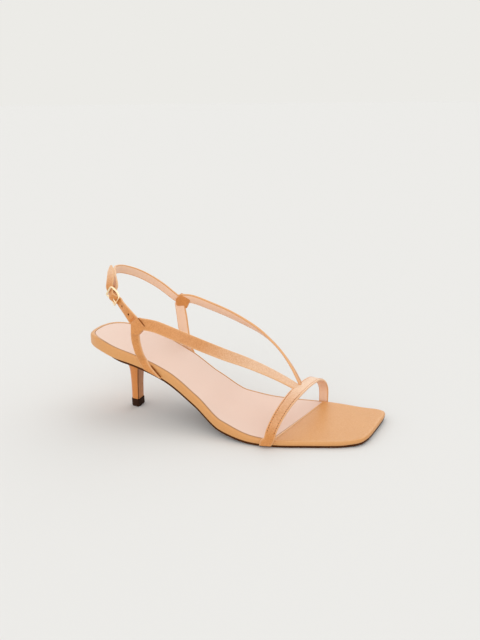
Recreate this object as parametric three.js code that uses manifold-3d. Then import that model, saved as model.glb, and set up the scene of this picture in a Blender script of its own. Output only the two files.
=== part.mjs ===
// Slingback sandal for the right foot, low heeled, with a square toe.
// Millimetres, +X from heel to toe, +Y to the medial side, +Z up, standing on Z = 0.

import * as THREE from "three";
import { mergeVertices } from "three/addons/utils/BufferGeometryUtils.js";
import Module from "manifold-3d";

const wasm = await Module();
wasm.setup();

// Overall sizes of the shoe
const SHOE_LENGTH = 238;
const BALL_WIDTH = 83;
const HEEL_RISE = 52.2;
const TOE_SPRING = 1.8;
const STRAP_RISE = 51;
const CLEARANCE = 0.3;

// Sole layers
const OUTSOLE_THICKNESS = 1.3;
const OUTSOLE_INSET = 0.9;
const SEAT_THICKNESS = 8.1;
const SEAT_DISH = 2.6;
const RIM_ROUNDING = 1.2;
const LINING_THICKNESS = 0.9;
const LINING_INSET = 1.9;
const LINING_SINK = 0.25;
const SEAM_LATERAL_SHARE = 0.703;
const SEAM_MEDIAL_SHARE = 0.783;

// Heel
const HEEL_WIDTH = 10;
const TIP_HEIGHT = 6.3;
const TIP_OVERHANG = 0.4;

// Straps
const STRAP_WIDTH = 9;
const STRAP_THICKNESS = 1.7;
const SIDE_WIDTH = 8;
const SLING_WIDTH = 7.2;
const SLING_THICKNESS = 1.6;
const HOLE_STRAP_THICKNESS = 1.3;
const FOLD_LAYER = 1.1;
const STRAP_EDGE = 0.4;

// Buckle
const BUCKLE_LENGTH = 12.6;
const BUCKLE_WIDTH = 11;
const BUCKLE_WIRE = 1.5;
const BUCKLE_DEPTH = 1.3;
const BUCKLE_CORNER = 1.6;
const BUCKLE_BOW = 1.5;
const BAR_RADIUS = 0.6;
const BAR_DROP = 0.5;
const PRONG_THICKNESS = 1;
const FOLD_THICKNESS = 0.8;

// Mesh fineness
const SIDE_STEPS = 3;
const CROSS_STEPS = 8;
const HEEL_STEPS = 12;

/** Turns a table into rows with named columns. */
function table(columns, rows) {
  return rows.map((row) => Object.fromEntries(columns.map((name, i) => [name, row[i]])));
}

// Sole profile from the seat to the toe: along is a share of SHOE_LENGTH, rise of HEEL_RISE,
// spring of TOE_SPRING, bed of SEAT_THICKNESS and dish of SEAT_DISH.
const PROFILE = table(
  ["along", "rise", "spring", "bed", "dish"],
  [
    [-0.01, 0.995, 0, 1, 1],
    [0.025, 1, 0, 1, 1],
    [0.063, 0.985, 0, 1, 1],
    [0.127, 0.914, 0, 1, 0.9],
    [0.211, 0.809, 0, 0.97, 0.7],
    [0.316, 0.62, 0, 0.88, 0.45],
    [0.422, 0.33, 0, 0.86, 0.3],
    [0.527, 0.078, 0, 0.84, 0.2],
    [0.633, 0.01, 0, 0.56, 0.15],
    [0.717, 0, 0, 0.41, 0.12],
    [0.768, 0, 0, 0.4, 0.12],
    [0.893, 0, 0, 0.4, 0.1],
    [0.945, 0, 0.4, 0.4, 0.05],
    [1.01, 0, 1.05, 0.4, 0],
  ],
);

// Plan of the two long sides: across values are shares of BALL_WIDTH.
const SIDES = table(
  ["along", "lateral", "medial"],
  [
    [0.025, -0.183, 0.186],
    [0.063, -0.27, 0.273],
    [0.127, -0.335, 0.326],
    [0.211, -0.355, 0.332],
    [0.316, -0.348, 0.3],
    [0.422, -0.39, 0.283],
    [0.527, -0.495, 0.335],
    [0.633, -0.555, 0.428],
    [0.717, -0.53, 0.476],
    [0.802, -0.461, 0.487],
    [0.886, -0.387, 0.466],
    [0.924, -0.341, 0.446],
  ],
);

// Plan of the back of the seat and of the toe, each from the lateral to the medial side.
const SEAT_BACK = table(
  ["along", "across"],
  [
    [0.0065, -0.1],
    [0, 0.003],
    [0.0065, 0.106],
  ],
);
const TOE_FRONT = table(
  ["along", "across"],
  [
    [0.957, -0.28],
    [0.974, -0.185],
    [0.985, -0.03],
    [0.993, 0.13],
    [0.9995, 0.28],
    [0.997, 0.37],
    [0.972, 0.42],
  ],
);

// Heel from the tip to the seat: up is a share of the height between them, back and front of
// SHOE_LENGTH, half of HEEL_WIDTH and side of BALL_WIDTH.
const HEEL = table(
  ["up", "back", "front", "half", "side"],
  [
    [0, 0.141, 0.173, 0.49, -0.012],
    [0.3, 0.141, 0.174, 0.51, -0.012],
    [0.6, 0.138, 0.177, 0.57, -0.01],
    [0.78, 0.128, 0.182, 0.74, -0.006],
    [0.88, 0.108, 0.188, 1.02, -0.003],
    [0.95, 0.075, 0.196, 1.5, 0],
    [1, 0.034, 0.206, 2.05, 0.004],
  ],
);

// Straps: along is a share of SHOE_LENGTH, across of BALL_WIDTH and rise of STRAP_RISE over
// the footbed. The outer face looks in plan direction facing and up by tilt, in degrees.
const STRAP_COLUMNS = ["along", "across", "rise", "facing", "tilt", "wide"];
const LATERAL_INSTEP = table(STRAP_COLUMNS, [
  [0.249, -0.434, 0.655, -90, 12, 1],
  [0.308, -0.445, 0.754, -90, 16, 1],
  [0.362, -0.424, 0.793, -88, 20, 1],
  [0.415, -0.387, 0.847, -86, 25, 1],
  [0.469, -0.337, 0.884, -84, 32, 1],
  [0.524, -0.28, 0.912, -82, 40, 1],
  [0.58, -0.218, 0.871, -80, 50, 0.98],
  [0.636, -0.158, 0.793, -76, 59, 0.95],
  [0.692, -0.098, 0.674, -70, 68, 0.92],
  [0.747, -0.04, 0.53, -60, 76, 0.9],
]);
const MEDIAL_INSTEP = table(STRAP_COLUMNS, [
  [0.262, 0.443, 0.69, 90, 22, 1],
  [0.308, 0.42, 0.812, 90, 26, 1],
  [0.382, 0.416, 0.91, 90, 30, 1],
  [0.45, 0.411, 1.003, 90, 33, 1],
  [0.513, 0.393, 1.071, 88, 41, 1],
  [0.568, 0.357, 1.043, 84, 50, 1],
  [0.618, 0.301, 0.971, 80, 58, 1],
  [0.662, 0.227, 0.856, 62, 48, 0.96],
  [0.703, 0.133, 0.721, 55, 50, 0.92],
  [0.742, 0.02, 0.565, 50, 52, 0.9],
]);
const TOE_STRAP = table(STRAP_COLUMNS, [
  [0.712, -0.548, 0.175, -90, 14, 1],
  [0.722, -0.497, 0.35, -82, 32, 1],
  [0.73, -0.355, 0.465, -75, 56, 1],
  [0.737, -0.19, 0.518, -50, 74, 1],
  [0.745, -0.02, 0.538, 0, 84, 1],
  [0.755, 0.15, 0.527, 50, 72, 1],
  [0.765, 0.3, 0.482, 74, 54, 0.98],
  [0.774, 0.42, 0.385, 82, 30, 0.92],
  [0.78, 0.497, 0.22, 90, 10, 0.86],
]);
const LATERAL_SIDE = table(STRAP_COLUMNS, [
  [0.251, -0.388, 0.1, -90, 2, 1],
  [0.242, -0.402, 0.195, -90, 5, 1],
  [0.238, -0.418, 0.295, -90, 7, 1],
  [0.238, -0.433, 0.4, -90, 9, 1.05],
  [0.244, -0.446, 0.52, -90, 10, 1.1],
]);
const MEDIAL_SIDE = table(STRAP_COLUMNS, [
  [0.295, 0.385, 0.14, 90, 4, 1],
  [0.285, 0.412, 0.26, 90, 9, 1],
  [0.274, 0.433, 0.4, 90, 14, 1.05],
  [0.264, 0.447, 0.54, 90, 18, 1.1],
]);
const HOLE_STRAP = table(STRAP_COLUMNS, [
  [0.246, -0.43, 0.61, -92, 8, 1.1],
  [0.227, -0.41, 0.649, -98, 6, 1],
  [0.202, -0.381, 0.713, -104, 3, 1],
]);
const HOLE_STRAP_END = table(STRAP_COLUMNS, [
  [0.125, -0.26, 0.987, -110, 4, 1],
  [0.126, -0.246, 1.075, -105, 6, 1],
  [0.125, -0.227, 1.159, -104, 8, 0.92],
  [0.124, -0.21, 1.229, -104, 8, 0.5],
]);
const SLING = table(STRAP_COLUMNS, [
  [0.113, -0.165, 0.989, -142, 5, 1],
  [0.1, -0.07, 1.026, -162, 8, 1],
  [0.093, 0.036, 1.036, 170, 11, 1],
  [0.097, 0.157, 1.01, 150, 14, 1],
  [0.134, 0.299, 0.943, 124, 17, 1],
  [0.189, 0.401, 0.816, 106, 21, 1],
  [0.243, 0.439, 0.695, 96, 22, 1],
]);

// Folded patches that join the side, instep and back straps: corners forward and up from the
// patch centre, as shares of STRAP_WIDTH.
const PATCH = table(
  ["forward", "up"],
  [
    [-0.65, -0.84],
    [-0.08, -0.76],
    [0.61, 0.13],
    [-0.21, 1.12],
    [-0.65, 0.62],
  ],
);
const LATERAL_PATCH = table(STRAP_COLUMNS, [[0.253, -0.436, 0.612, -92, 10, 1]])[0];
const MEDIAL_PATCH = table(STRAP_COLUMNS, [[0.265, 0.446, 0.65, 92, 20, 1]])[0];

// Middle of the buckle on the lateral side, in the same shares as the straps
const BUCKLE_PLACE = table(STRAP_COLUMNS, [[0.145, -0.302, 0.831, -112, -1, 1]])[0];
const BUCKLE_LIFT = 40;

/** Smooth value of one column at a place along the profile, without overshoot. */
function profileAt(column, along) {
  const rows = PROFILE;
  const last = rows.length - 1;
  const slopes = rows.map((row, i) => {
    if (i === 0 || i === last) return 0;
    const before = (row[column] - rows[i - 1][column]) / (row.along - rows[i - 1].along);
    const after = (rows[i + 1][column] - row[column]) / (rows[i + 1].along - row.along);
    return before * after <= 0 ? 0 : (2 * before * after) / (before + after);
  });
  let k = 0;
  while (k < last - 1 && along > rows[k + 1].along) k += 1;
  const span = rows[k + 1].along - rows[k].along;
  const t = Math.min(1, Math.max(0, (along - rows[k].along) / span));
  const a = rows[k][column];
  const b = rows[k + 1][column];
  const ease = t * t * (3 - 2 * t);
  const start = t * (1 - t) * (1 - t) * span * slopes[k];
  const end = t * t * (t - 1) * span * slopes[k + 1];
  return a + (b - a) * ease + start + end;
}

/** Height of the outsole's underside. */
function tread(x) {
  const along = x / SHOE_LENGTH;
  return HEEL_RISE * profileAt("rise", along) + TOE_SPRING * profileAt("spring", along);
}

/** Upright length of one millimetre measured square to the sloping sole. */
function steepness(x) {
  return Math.hypot(1, tread(x + 0.5) - tread(x - 0.5));
}

function bedThickness(x) {
  return SEAT_THICKNESS * profileAt("bed", x / SHOE_LENGTH);
}

function outsoleTop(x) {
  return tread(x) + OUTSOLE_THICKNESS * steepness(x);
}

function bedUnderside(x) {
  return tread(x) + (OUTSOLE_THICKNESS + CLEARANCE) * steepness(x);
}

/** Top of the footbed, dished a little across its width. */
function bedTop(x, y) {
  const dish = SEAT_DISH * profileAt("dish", x / SHOE_LENGTH) * ((2 * y) / BALL_WIDTH) ** 2;
  return bedUnderside(x) + bedThickness(x) * steepness(x) + dish;
}

/** Closed plan outline of the sole with the four corners where its sides meet its ends. */
function planOutline() {
  const lateral = SIDES.map((row) => [row.along, row.lateral]);
  const medial = SIDES.map((row) => [row.along, row.medial]).reverse();
  const toe = TOE_FRONT.map((row) => [row.along, row.across]);
  const back = SEAT_BACK.map((row) => [row.along, row.across]).reverse();
  const shares = [...lateral, ...toe, ...medial, ...back];
  const points = shares.map(([a, b]) => new THREE.Vector3(a * SHOE_LENGTH, b * BALL_WIDTH, 0));
  const curve = new THREE.CatmullRomCurve3(points, true, "centripetal");
  const stops = [0, SIDES.length - 1, SIDES.length + TOE_FRONT.length];
  stops.push(stops[2] + SIDES.length - 1, points.length);
  const sideCount = (SIDES.length - 1) * SIDE_STEPS;
  const counts = [sideCount, CROSS_STEPS, sideCount, CROSS_STEPS];
  const parts = counts.map((count, part) => {
    const from = stops[part];
    const span = stops[part + 1] - from;
    const at = (i) => curve.getPoint(((from + (span * i) / count) / points.length) % 1);
    return Array.from({ length: count + 1 }, (_, i) => at(i));
  });
  return parts;
}

const OUTLINE = planOutline();

/** Point on the plan outline of one long side at a distance along the shoe. */
function wallPoint(side, x) {
  const points = side < 0 ? OUTLINE[0] : [...OUTLINE[2]].reverse();
  let k = 0;
  while (k < points.length - 2 && points[k + 1].x < x) k += 1;
  const t = (x - points[k].x) / (points[k + 1].x - points[k].x);
  const along = points[k + 1].clone().sub(points[k]).normalize();
  const outward = new THREE.Vector3(-along.y * side, along.x * side, 0);
  return { point: points[k].clone().lerp(points[k + 1], t), outward };
}

/** The outline's boundary moved inwards by inset(x), kept as its four parts. */
function insetOutline(inset) {
  const loop = OUTLINE.flatMap((part) => part.slice(0, -1));
  const moved = loop.map((point, i) => {
    const before = loop[(i + loop.length - 1) % loop.length];
    const after = loop[(i + 1) % loop.length];
    const along = after.clone().sub(before).normalize();
    const distance = inset(point.x);
    return new THREE.Vector3(point.x - along.y * distance, point.y + along.x * distance, 0);
  });
  let first = 0;
  return OUTLINE.map((part) => {
    const count = part.length;
    const start = first;
    first += count - 1;
    return Array.from({ length: count }, (_, i) => moved[(start + i) % moved.length]);
  });
}

/** Fills four boundary parts with a grid of plan points, from lateral to medial. */
function fillGrid([lateral, toe, medialBack, backReversed]) {
  const medial = [...medialBack].reverse();
  const back = [...backReversed].reverse();
  const rows = lateral.length - 1;
  const columns = toe.length - 1;
  const grid = [];
  for (let i = 0; i <= rows; i += 1) {
    const u = i / rows;
    const line = [];
    for (let j = 0; j <= columns; j += 1) {
      const v = j / columns;
      const point = new THREE.Vector3();
      point.addScaledVector(lateral[i], 1 - v).addScaledVector(medial[i], v);
      point.addScaledVector(back[j], 1 - u).addScaledVector(toe[j], u);
      point.addScaledVector(lateral[0], -(1 - u) * (1 - v)).addScaledVector(medial[0], -(1 - u) * v);
      point.addScaledVector(lateral[rows], -u * (1 - v)).addScaledVector(medial[rows], -u * v);
      line.push(point);
    }
    grid.push(line);
  }
  return grid;
}

/** Makes an indexed geometry from points and triangles. */
function makeGeometry(points, triangles) {
  const geometry = new THREE.BufferGeometry();
  const numbers = points.flatMap((p) => [p.x, p.y, p.z]);
  geometry.setAttribute("position", new THREE.Float32BufferAttribute(numbers, 3));
  geometry.setIndex(triangles.flat());
  return geometry;
}

/**
 * A layer of the sole between two surfaces. The inset function sets how far its edge stands
 * inside the outline, and the upper and lower edges are rounded.
 */
function soleLayer({ inset, top, bottom, topRound, bottomRound }) {
  const points = [];
  const triangles = [];
  const turn = 1 - Math.SQRT1_2;
  const rings = [
    [topRound, top, 0],
    [topRound * turn, top, -topRound * turn],
    [0, top, -topRound],
    [0, bottom, bottomRound],
    [bottomRound, bottom, 0],
  ];
  const boundaries = rings.map(([extra, surface, shift]) => {
    const parts = insetOutline((x) => inset(x) + extra);
    const lift = (p) => new THREE.Vector3(p.x, p.y, surface(p.x, p.y) + shift * steepness(p.x));
    return { parts, loop: parts.flatMap((part) => part.slice(0, -1)).map(lift) };
  });
  for (const { loop } of boundaries) points.push(...loop);
  const count = boundaries[0].loop.length;
  for (let ring = 0; ring + 1 < boundaries.length; ring += 1) {
    for (let i = 0; i < count; i += 1) {
      const a = ring * count + i;
      const b = ring * count + ((i + 1) % count);
      triangles.push([a, a + count, b + count], [a, b + count, b]);
    }
  }
  for (const [ring, surface, up] of [[0, top, true], [boundaries.length - 1, bottom, false]]) {
    const grid = fillGrid(boundaries[ring].parts);
    const start = points.length;
    const across = grid[0].length;
    for (const line of grid) {
      points.push(...line.map((p) => new THREE.Vector3(p.x, p.y, surface(p.x, p.y))));
    }
    for (let i = 0; i + 1 < grid.length; i += 1) {
      for (let j = 0; j + 1 < across; j += 1) {
        const a = start + i * across + j;
        const quad = [[a, a + across, a + across + 1], [a, a + across + 1, a + 1]];
        triangles.push(...(up ? quad : quad.map(([p, q, r]) => [p, r, q])));
      }
    }
  }
  return makeGeometry(points, triangles);
}

/** A tall block over everything behind the slanted seam, moved towards the toe by shift. */
function behindSeam(shift) {
  const reach = 2 * BALL_WIDTH;
  const lateral = new THREE.Vector2(SHOE_LENGTH * SEAM_LATERAL_SHARE + shift, -BALL_WIDTH / 2);
  const medial = new THREE.Vector2(SHOE_LENGTH * SEAM_MEDIAL_SHARE + shift, BALL_WIDTH / 2);
  const along = medial.clone().sub(lateral).multiplyScalar(0.5);
  const low = lateral.clone().sub(along);
  const high = medial.clone().add(along);
  const shape = new THREE.Shape([
    new THREE.Vector2(-reach, low.y),
    low,
    high,
    new THREE.Vector2(-reach, high.y),
  ]);
  const block = new THREE.ExtrudeGeometry(shape, { depth: 4 * HEEL_RISE, bevelEnabled: false });
  return block.translate(0, 0, -HEEL_RISE);
}

/** Changes a three geometry into a solid that can be joined and cut. */
function toSolid(geometry) {
  const bare = geometry.clone();
  bare.deleteAttribute("normal");
  bare.deleteAttribute("uv");
  const merged = mergeVertices(bare, 1e-4);
  const vertProperties = new Float32Array(merged.getAttribute("position").array);
  const triVerts = new Uint32Array(merged.getIndex().array);
  return new wasm.Manifold(new wasm.Mesh({ numProp: 3, vertProperties, triVerts }));
}

/** Changes a solid back into a three geometry. */
function toGeometry(solid) {
  const mesh = solid.getMesh();
  const geometry = new THREE.BufferGeometry();
  geometry.setAttribute("position", new THREE.BufferAttribute(new Float32Array(mesh.vertProperties), 3));
  geometry.setIndex(new THREE.BufferAttribute(new Uint32Array(mesh.triVerts), 1));
  return geometry;
}

/** Direction looking along a plan heading and up by a tilt, both in degrees. */
function direction(facing, tilt) {
  const plan = THREE.MathUtils.degToRad(facing);
  const lift = THREE.MathUtils.degToRad(tilt);
  return new THREE.Vector3(Math.cos(lift) * Math.cos(plan), Math.cos(lift) * Math.sin(plan), Math.sin(lift));
}

/** Place, outer direction, width and thickness of a strap from one row of its table. */
function station(row, width, thickness) {
  const x = row.along * SHOE_LENGTH;
  const point = new THREE.Vector3(x, row.across * BALL_WIDTH, bedTop(x, 0) + row.rise * STRAP_RISE);
  return { point, outer: direction(row.facing, row.tilt), width: width * row.wide, thickness };
}

/** Stations that lay a strap flat on the footbed's edge, from its foot up to the rim. */
function wallStations(side, foot, rim, width, thickness) {
  const stand = CLEARANCE + thickness / 2;
  return [0, 0.5, 0.95].map((share) => {
    const x = THREE.MathUtils.lerp(foot, rim, share) * SHOE_LENGTH;
    const { point, outward } = wallPoint(side, x);
    const low = bedUnderside(x) + CLEARANCE;
    const high = bedTop(x, point.y);
    const place = point.clone().addScaledVector(outward, stand).setZ(low + (high - low) * share);
    return { point: place, outer: outward.clone(), width, thickness };
  });
}

/**
 * A band swept through stations. Its section is a rectangle with cut corners, as wide as each
 * station's width, with the outer face square to the path and towards the station's outer side.
 */
function band(stations, steps) {
  const curve = new THREE.CatmullRomCurve3(stations.map((s) => s.point), false, "centripetal");
  const count = (stations.length - 1) * steps;
  const points = [];
  const triangles = [];
  for (let i = 0; i <= count; i += 1) {
    const t = i / count;
    const place = t * (stations.length - 1);
    const k = Math.min(Math.floor(place), stations.length - 2);
    const share = place - k;
    const here = stations[k];
    const next = stations[k + 1];
    const ahead = curve.getPoint(Math.min(1, t + 1e-3));
    const along = ahead.sub(curve.getPoint(Math.max(0, t - 1e-3))).normalize();
    const outer = here.outer.clone().lerp(next.outer, share);
    outer.addScaledVector(along, -outer.dot(along)).normalize();
    const across = new THREE.Vector3().crossVectors(along, outer);
    const halfWidth = THREE.MathUtils.lerp(here.width, next.width, share) / 2;
    const halfThick = THREE.MathUtils.lerp(here.thickness, next.thickness, share) / 2;
    const cut = Math.min(STRAP_EDGE, 0.6 * halfThick);
    const section = [
      [halfWidth, cut - halfThick],
      [halfWidth, halfThick - cut],
      [halfWidth - cut, halfThick],
      [cut - halfWidth, halfThick],
      [-halfWidth, halfThick - cut],
      [-halfWidth, cut - halfThick],
      [cut - halfWidth, -halfThick],
      [halfWidth - cut, -halfThick],
    ];
    const middle = curve.getPoint(t);
    for (const [a, b] of section) {
      points.push(middle.clone().addScaledVector(across, a).addScaledVector(outer, b));
    }
  }
  for (let i = 0; i < count; i += 1) {
    for (let j = 0; j < 8; j += 1) {
      const a = i * 8 + j;
      const b = i * 8 + ((j + 1) % 8);
      triangles.push([a, a + 8, b + 8], [a, b + 8, b]);
    }
  }
  for (let j = 1; j < 7; j += 1) {
    triangles.push([0, j, j + 1]);
    triangles.push([count * 8, count * 8 + j + 1, count * 8 + j]);
  }
  return makeGeometry(points, triangles);
}

/** A flat patch of folded leather at a strap junction. */
function patch(row, side) {
  const { point, outer } = station(row, STRAP_WIDTH, STRAP_THICKNESS);
  const forward = new THREE.Vector3(1, 0, 0);
  forward.addScaledVector(outer, -outer.dot(forward)).normalize();
  const up = new THREE.Vector3().crossVectors(outer, forward).multiplyScalar(-side);
  const corners = PATCH.map((corner) => [corner.forward * STRAP_WIDTH, corner.up * STRAP_WIDTH]);
  const half = STRAP_THICKNESS / 2 + FOLD_LAYER;
  const cut = STRAP_EDGE;
  const inner = shrink(corners, cut);
  const layers = [[inner, -half], [corners, cut - half], [corners, half - cut], [inner, half]];
  const points = layers.flatMap(([ring, height]) =>
    ring.map(([a, b]) =>
      point.clone().addScaledVector(forward, a).addScaledVector(up, b).addScaledVector(outer, height),
    ),
  );
  const count = corners.length;
  const triangles = [];
  for (let layer = 0; layer + 1 < layers.length; layer += 1) {
    for (let i = 0; i < count; i += 1) {
      const a = layer * count + i;
      const b = layer * count + ((i + 1) % count);
      triangles.push([a, b, b + count], [a, b + count, a + count]);
    }
  }
  const top = (layers.length - 1) * count;
  for (let i = 1; i + 1 < count; i += 1) {
    triangles.push([0, i + 1, i], [top, top + i, top + i + 1]);
  }
  const mirrored = side > 0;
  return makeGeometry(points, mirrored ? triangles.map(([a, b, c]) => [a, c, b]) : triangles);
}

/** Moves the sides of a convex polygon inwards. */
function shrink(corners, distance) {
  const middleX = corners.reduce((sum, [x]) => sum + x, 0) / corners.length;
  const middleY = corners.reduce((sum, [, y]) => sum + y, 0) / corners.length;
  return corners.map(([x, y]) => {
    const away = Math.hypot(x - middleX, y - middleY);
    const share = 1 - distance / away;
    return [middleX + (x - middleX) * share, middleY + (y - middleY) * share];
  });
}

/** D-shaped ring of the heel: flat breast in front, rounded behind. */
function heelRing(row, grow, height) {
  const back = row.back * SHOE_LENGTH - grow;
  const front = row.front * SHOE_LENGTH + grow;
  const half = row.half * HEEL_WIDTH + grow;
  const middle = row.side * BALL_WIDTH;
  const ring = [];
  for (let i = 0; i <= HEEL_STEPS; i += 1) {
    const angle = Math.PI * (i / HEEL_STEPS - 0.5);
    const depth = Math.cos(angle) ** 0.8;
    const width = Math.sign(angle) * Math.abs(Math.sin(angle)) ** 0.8;
    const x = front - (front - back) * depth;
    const y = middle - half * width;
    ring.push(new THREE.Vector3(x, y, height(x, y)));
  }
  return ring;
}

/** Closed solid through rings that each run round the same way, seen from above. */
function loft(rings) {
  const points = rings.flat();
  const count = rings[0].length;
  const triangles = [];
  for (let level = 0; level + 1 < rings.length; level += 1) {
    for (let i = 0; i < count; i += 1) {
      const a = level * count + i;
      const b = level * count + ((i + 1) % count);
      triangles.push([a, b, b + count], [a, b + count, a + count]);
    }
  }
  const top = (rings.length - 1) * count;
  for (let i = 0; i < Math.floor(count / 2); i += 1) {
    const j = count - 1 - i;
    if (i + 1 < j) {
      triangles.push([i, j, i + 1], [top + i, top + i + 1, top + j]);
    }
    if (i + 1 < j - 1) {
      triangles.push([i + 1, j, j - 1], [top + i + 1, top + j - 1, top + j]);
    }
  }
  return makeGeometry(points, triangles);
}

function makeHeel() {
  const foot = TIP_HEIGHT + CLEARANCE;
  const seat = (x) => tread(x) - CLEARANCE * steepness(x);
  const rings = HEEL.map((row) => heelRing(row, 0, (x) => foot + (seat(x) - foot) * row.up));
  return loft(rings);
}

function makeHeelTip() {
  return loft([0, TIP_HEIGHT].map((z) => heelRing(HEEL[0], TIP_OVERHANG, () => z)));
}

/** Directions of the buckle: rearward along the strap, outward, and across the strap. */
function buckleFrame() {
  const { point, outer } = station(BUCKLE_PLACE, SLING_WIDTH, SLING_THICKNESS);
  const rear = direction(BUCKLE_PLACE.facing - 90, BUCKLE_LIFT);
  rear.addScaledVector(outer, -outer.dot(rear)).normalize();
  const across = new THREE.Vector3().crossVectors(rear, outer);
  return { point, rear, outer, across };
}

const BUCKLE = buckleFrame();

/** World point from buckle measures: rearward, outward and across. */
function onBuckle(rear, outward, across = 0) {
  const place = BUCKLE.point.clone();
  place.addScaledVector(BUCKLE.rear, rear).addScaledVector(BUCKLE.outer, outward);
  return place.addScaledVector(BUCKLE.across, across);
}

/** Outward distance of the bowed frame's middle plane. */
function bowAt(rear) {
  return BUCKLE_BOW * (rear / (BUCKLE_LENGTH / 2)) ** 2;
}

/** Rounded rectangle in plan, as a path. */
function roundedRectangle(path, length, width, corner) {
  const a = length / 2;
  const b = width / 2;
  path.moveTo(-a + corner, -b);
  for (const share of [0.2, 0.4, 0.6, 0.8, 1]) path.lineTo(-a + corner + share * (length - 2 * corner), -b);
  path.absarc(a - corner, -b + corner, corner, -Math.PI / 2, 0, false);
  path.lineTo(a, b - corner);
  path.absarc(a - corner, b - corner, corner, 0, Math.PI / 2, false);
  for (const share of [0.2, 0.4, 0.6, 0.8, 1]) path.lineTo(a - corner - share * (length - 2 * corner), b);
  path.absarc(-a + corner, b - corner, corner, Math.PI / 2, Math.PI, false);
  path.lineTo(-a, -b + corner);
  path.absarc(-a + corner, -b + corner, corner, Math.PI, 1.5 * Math.PI, false);
}

function makeBuckleFrame() {
  const shape = new THREE.Shape();
  roundedRectangle(shape, BUCKLE_LENGTH, BUCKLE_WIDTH, BUCKLE_CORNER);
  const hole = new THREE.Path();
  const inner = 2 * BUCKLE_WIRE;
  roundedRectangle(hole, BUCKLE_LENGTH - inner, BUCKLE_WIDTH - inner, BUCKLE_CORNER / 3);
  shape.holes.push(hole);
  const bevel = BUCKLE_DEPTH / 5;
  const frame = new THREE.ExtrudeGeometry(shape, {
    depth: BUCKLE_DEPTH - 2 * bevel,
    bevelEnabled: true,
    bevelThickness: bevel,
    bevelSize: bevel,
    bevelOffset: -bevel,
    bevelSegments: 1,
    curveSegments: 3,
  });
  frame.translate(0, 0, bevel - BUCKLE_DEPTH / 2);
  const bar = new THREE.CylinderGeometry(BAR_RADIUS, BAR_RADIUS, BUCKLE_WIDTH - BUCKLE_WIRE, 10);
  bar.translate(0, 0, -BAR_DROP);
  const place = (geometry) => {
    const positions = geometry.getAttribute("position");
    for (let i = 0; i < positions.count; i += 1) {
      const s = positions.getX(i);
      const world = onBuckle(s, positions.getZ(i) + bowAt(s), -positions.getY(i));
      positions.setXYZ(i, world.x, world.y, world.z);
    }
    return toSolid(geometry);
  };
  return place(frame).add(place(bar));
}

/** Stations along a path given in buckle measures. */
function buckleStations(path, width, thickness) {
  return path.map(([rear, outward, outwardShare, rearShare]) => ({
    point: onBuckle(rear, outward),
    outer: BUCKLE.outer.clone().multiplyScalar(outwardShare).addScaledVector(BUCKLE.rear, rearShare),
    width,
    thickness,
  }));
}

/** The prong: a ring round the bar and a tongue that rests on the front of the frame. */
function prong(extra) {
  const ring = BAR_RADIUS + CLEARANCE + PRONG_THICKNESS / 2;
  const path = [75, 30, -15, -60, -105, -150].map((degrees) => {
    const angle = THREE.MathUtils.degToRad(degrees);
    const outward = ring * Math.sin(angle) - BAR_DROP;
    return [ring * Math.cos(angle), outward, Math.sin(angle), Math.cos(angle)];
  });
  const front = BUCKLE_WIRE / 2 - BUCKLE_LENGTH / 2;
  const rest = bowAt(front) + BUCKLE_DEPTH / 2 + CLEARANCE + PRONG_THICKNESS / 2;
  path.push([-1.15 * ring, 0.1, 0.1, -1]);
  path.push([-1.5 * ring, 0.62 * rest, 0.6, -0.8]);
  path.push([0.66 * front, rest, 1, 0]);
  path.push([front - 0.7 * BUCKLE_WIRE, rest, 1, 0]);
  const size = PRONG_THICKNESS + 2 * extra;
  return band(buckleStations(path, size, size), 2);
}

/** Heights of the two straps that pass through the buckle. */
const FOLD_RADIUS = BAR_RADIUS + CLEARANCE + FOLD_THICKNESS / 2;
const OVER_BAR = FOLD_RADIUS + FOLD_THICKNESS / 2 + CLEARANCE + HOLE_STRAP_THICKNESS / 2 - BAR_DROP;
const FRAME_END = BUCKLE_LENGTH / 2 - BUCKLE_WIRE / 2;
const FRAME_INSIDE = BUCKLE_LENGTH / 2 - BUCKLE_WIRE;
const UNDER_FRAME = bowAt(FRAME_INSIDE) - BUCKLE_DEPTH / 2 - CLEARANCE - HOLE_STRAP_THICKNESS / 2;
const BENEATH = UNDER_FRAME - HOLE_STRAP_THICKNESS / 2 - CLEARANCE - SLING_THICKNESS / 2;

/** The hole strap, from the lateral patch through the buckle to its free end. */
function holeStrap() {
  const start = HOLE_STRAP.map((row) => station(row, SLING_WIDTH, HOLE_STRAP_THICKNESS));
  const through = [
    [-1.65 * FRAME_END, UNDER_FRAME, 1, 0],
    [-FRAME_END, UNDER_FRAME - 0.25, 1, 0],
    [-0.46 * FRAME_END, 0.45 * OVER_BAR, 1, -0.35],
    [0, OVER_BAR + 0.1, 1, 0],
    [0.46 * FRAME_END, 0.45 * OVER_BAR, 1, 0.35],
    [FRAME_END, UNDER_FRAME - 0.25, 1, 0],
    [1.35 * FRAME_END, UNDER_FRAME - 0.1, 1, 0],
  ];
  const middle = buckleStations(through, SLING_WIDTH, HOLE_STRAP_THICKNESS);
  const end = HOLE_STRAP_END.map((row) => station(row, SLING_WIDTH, HOLE_STRAP_THICKNESS));
  return band([...start, ...middle, ...end], 2);
}

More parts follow.
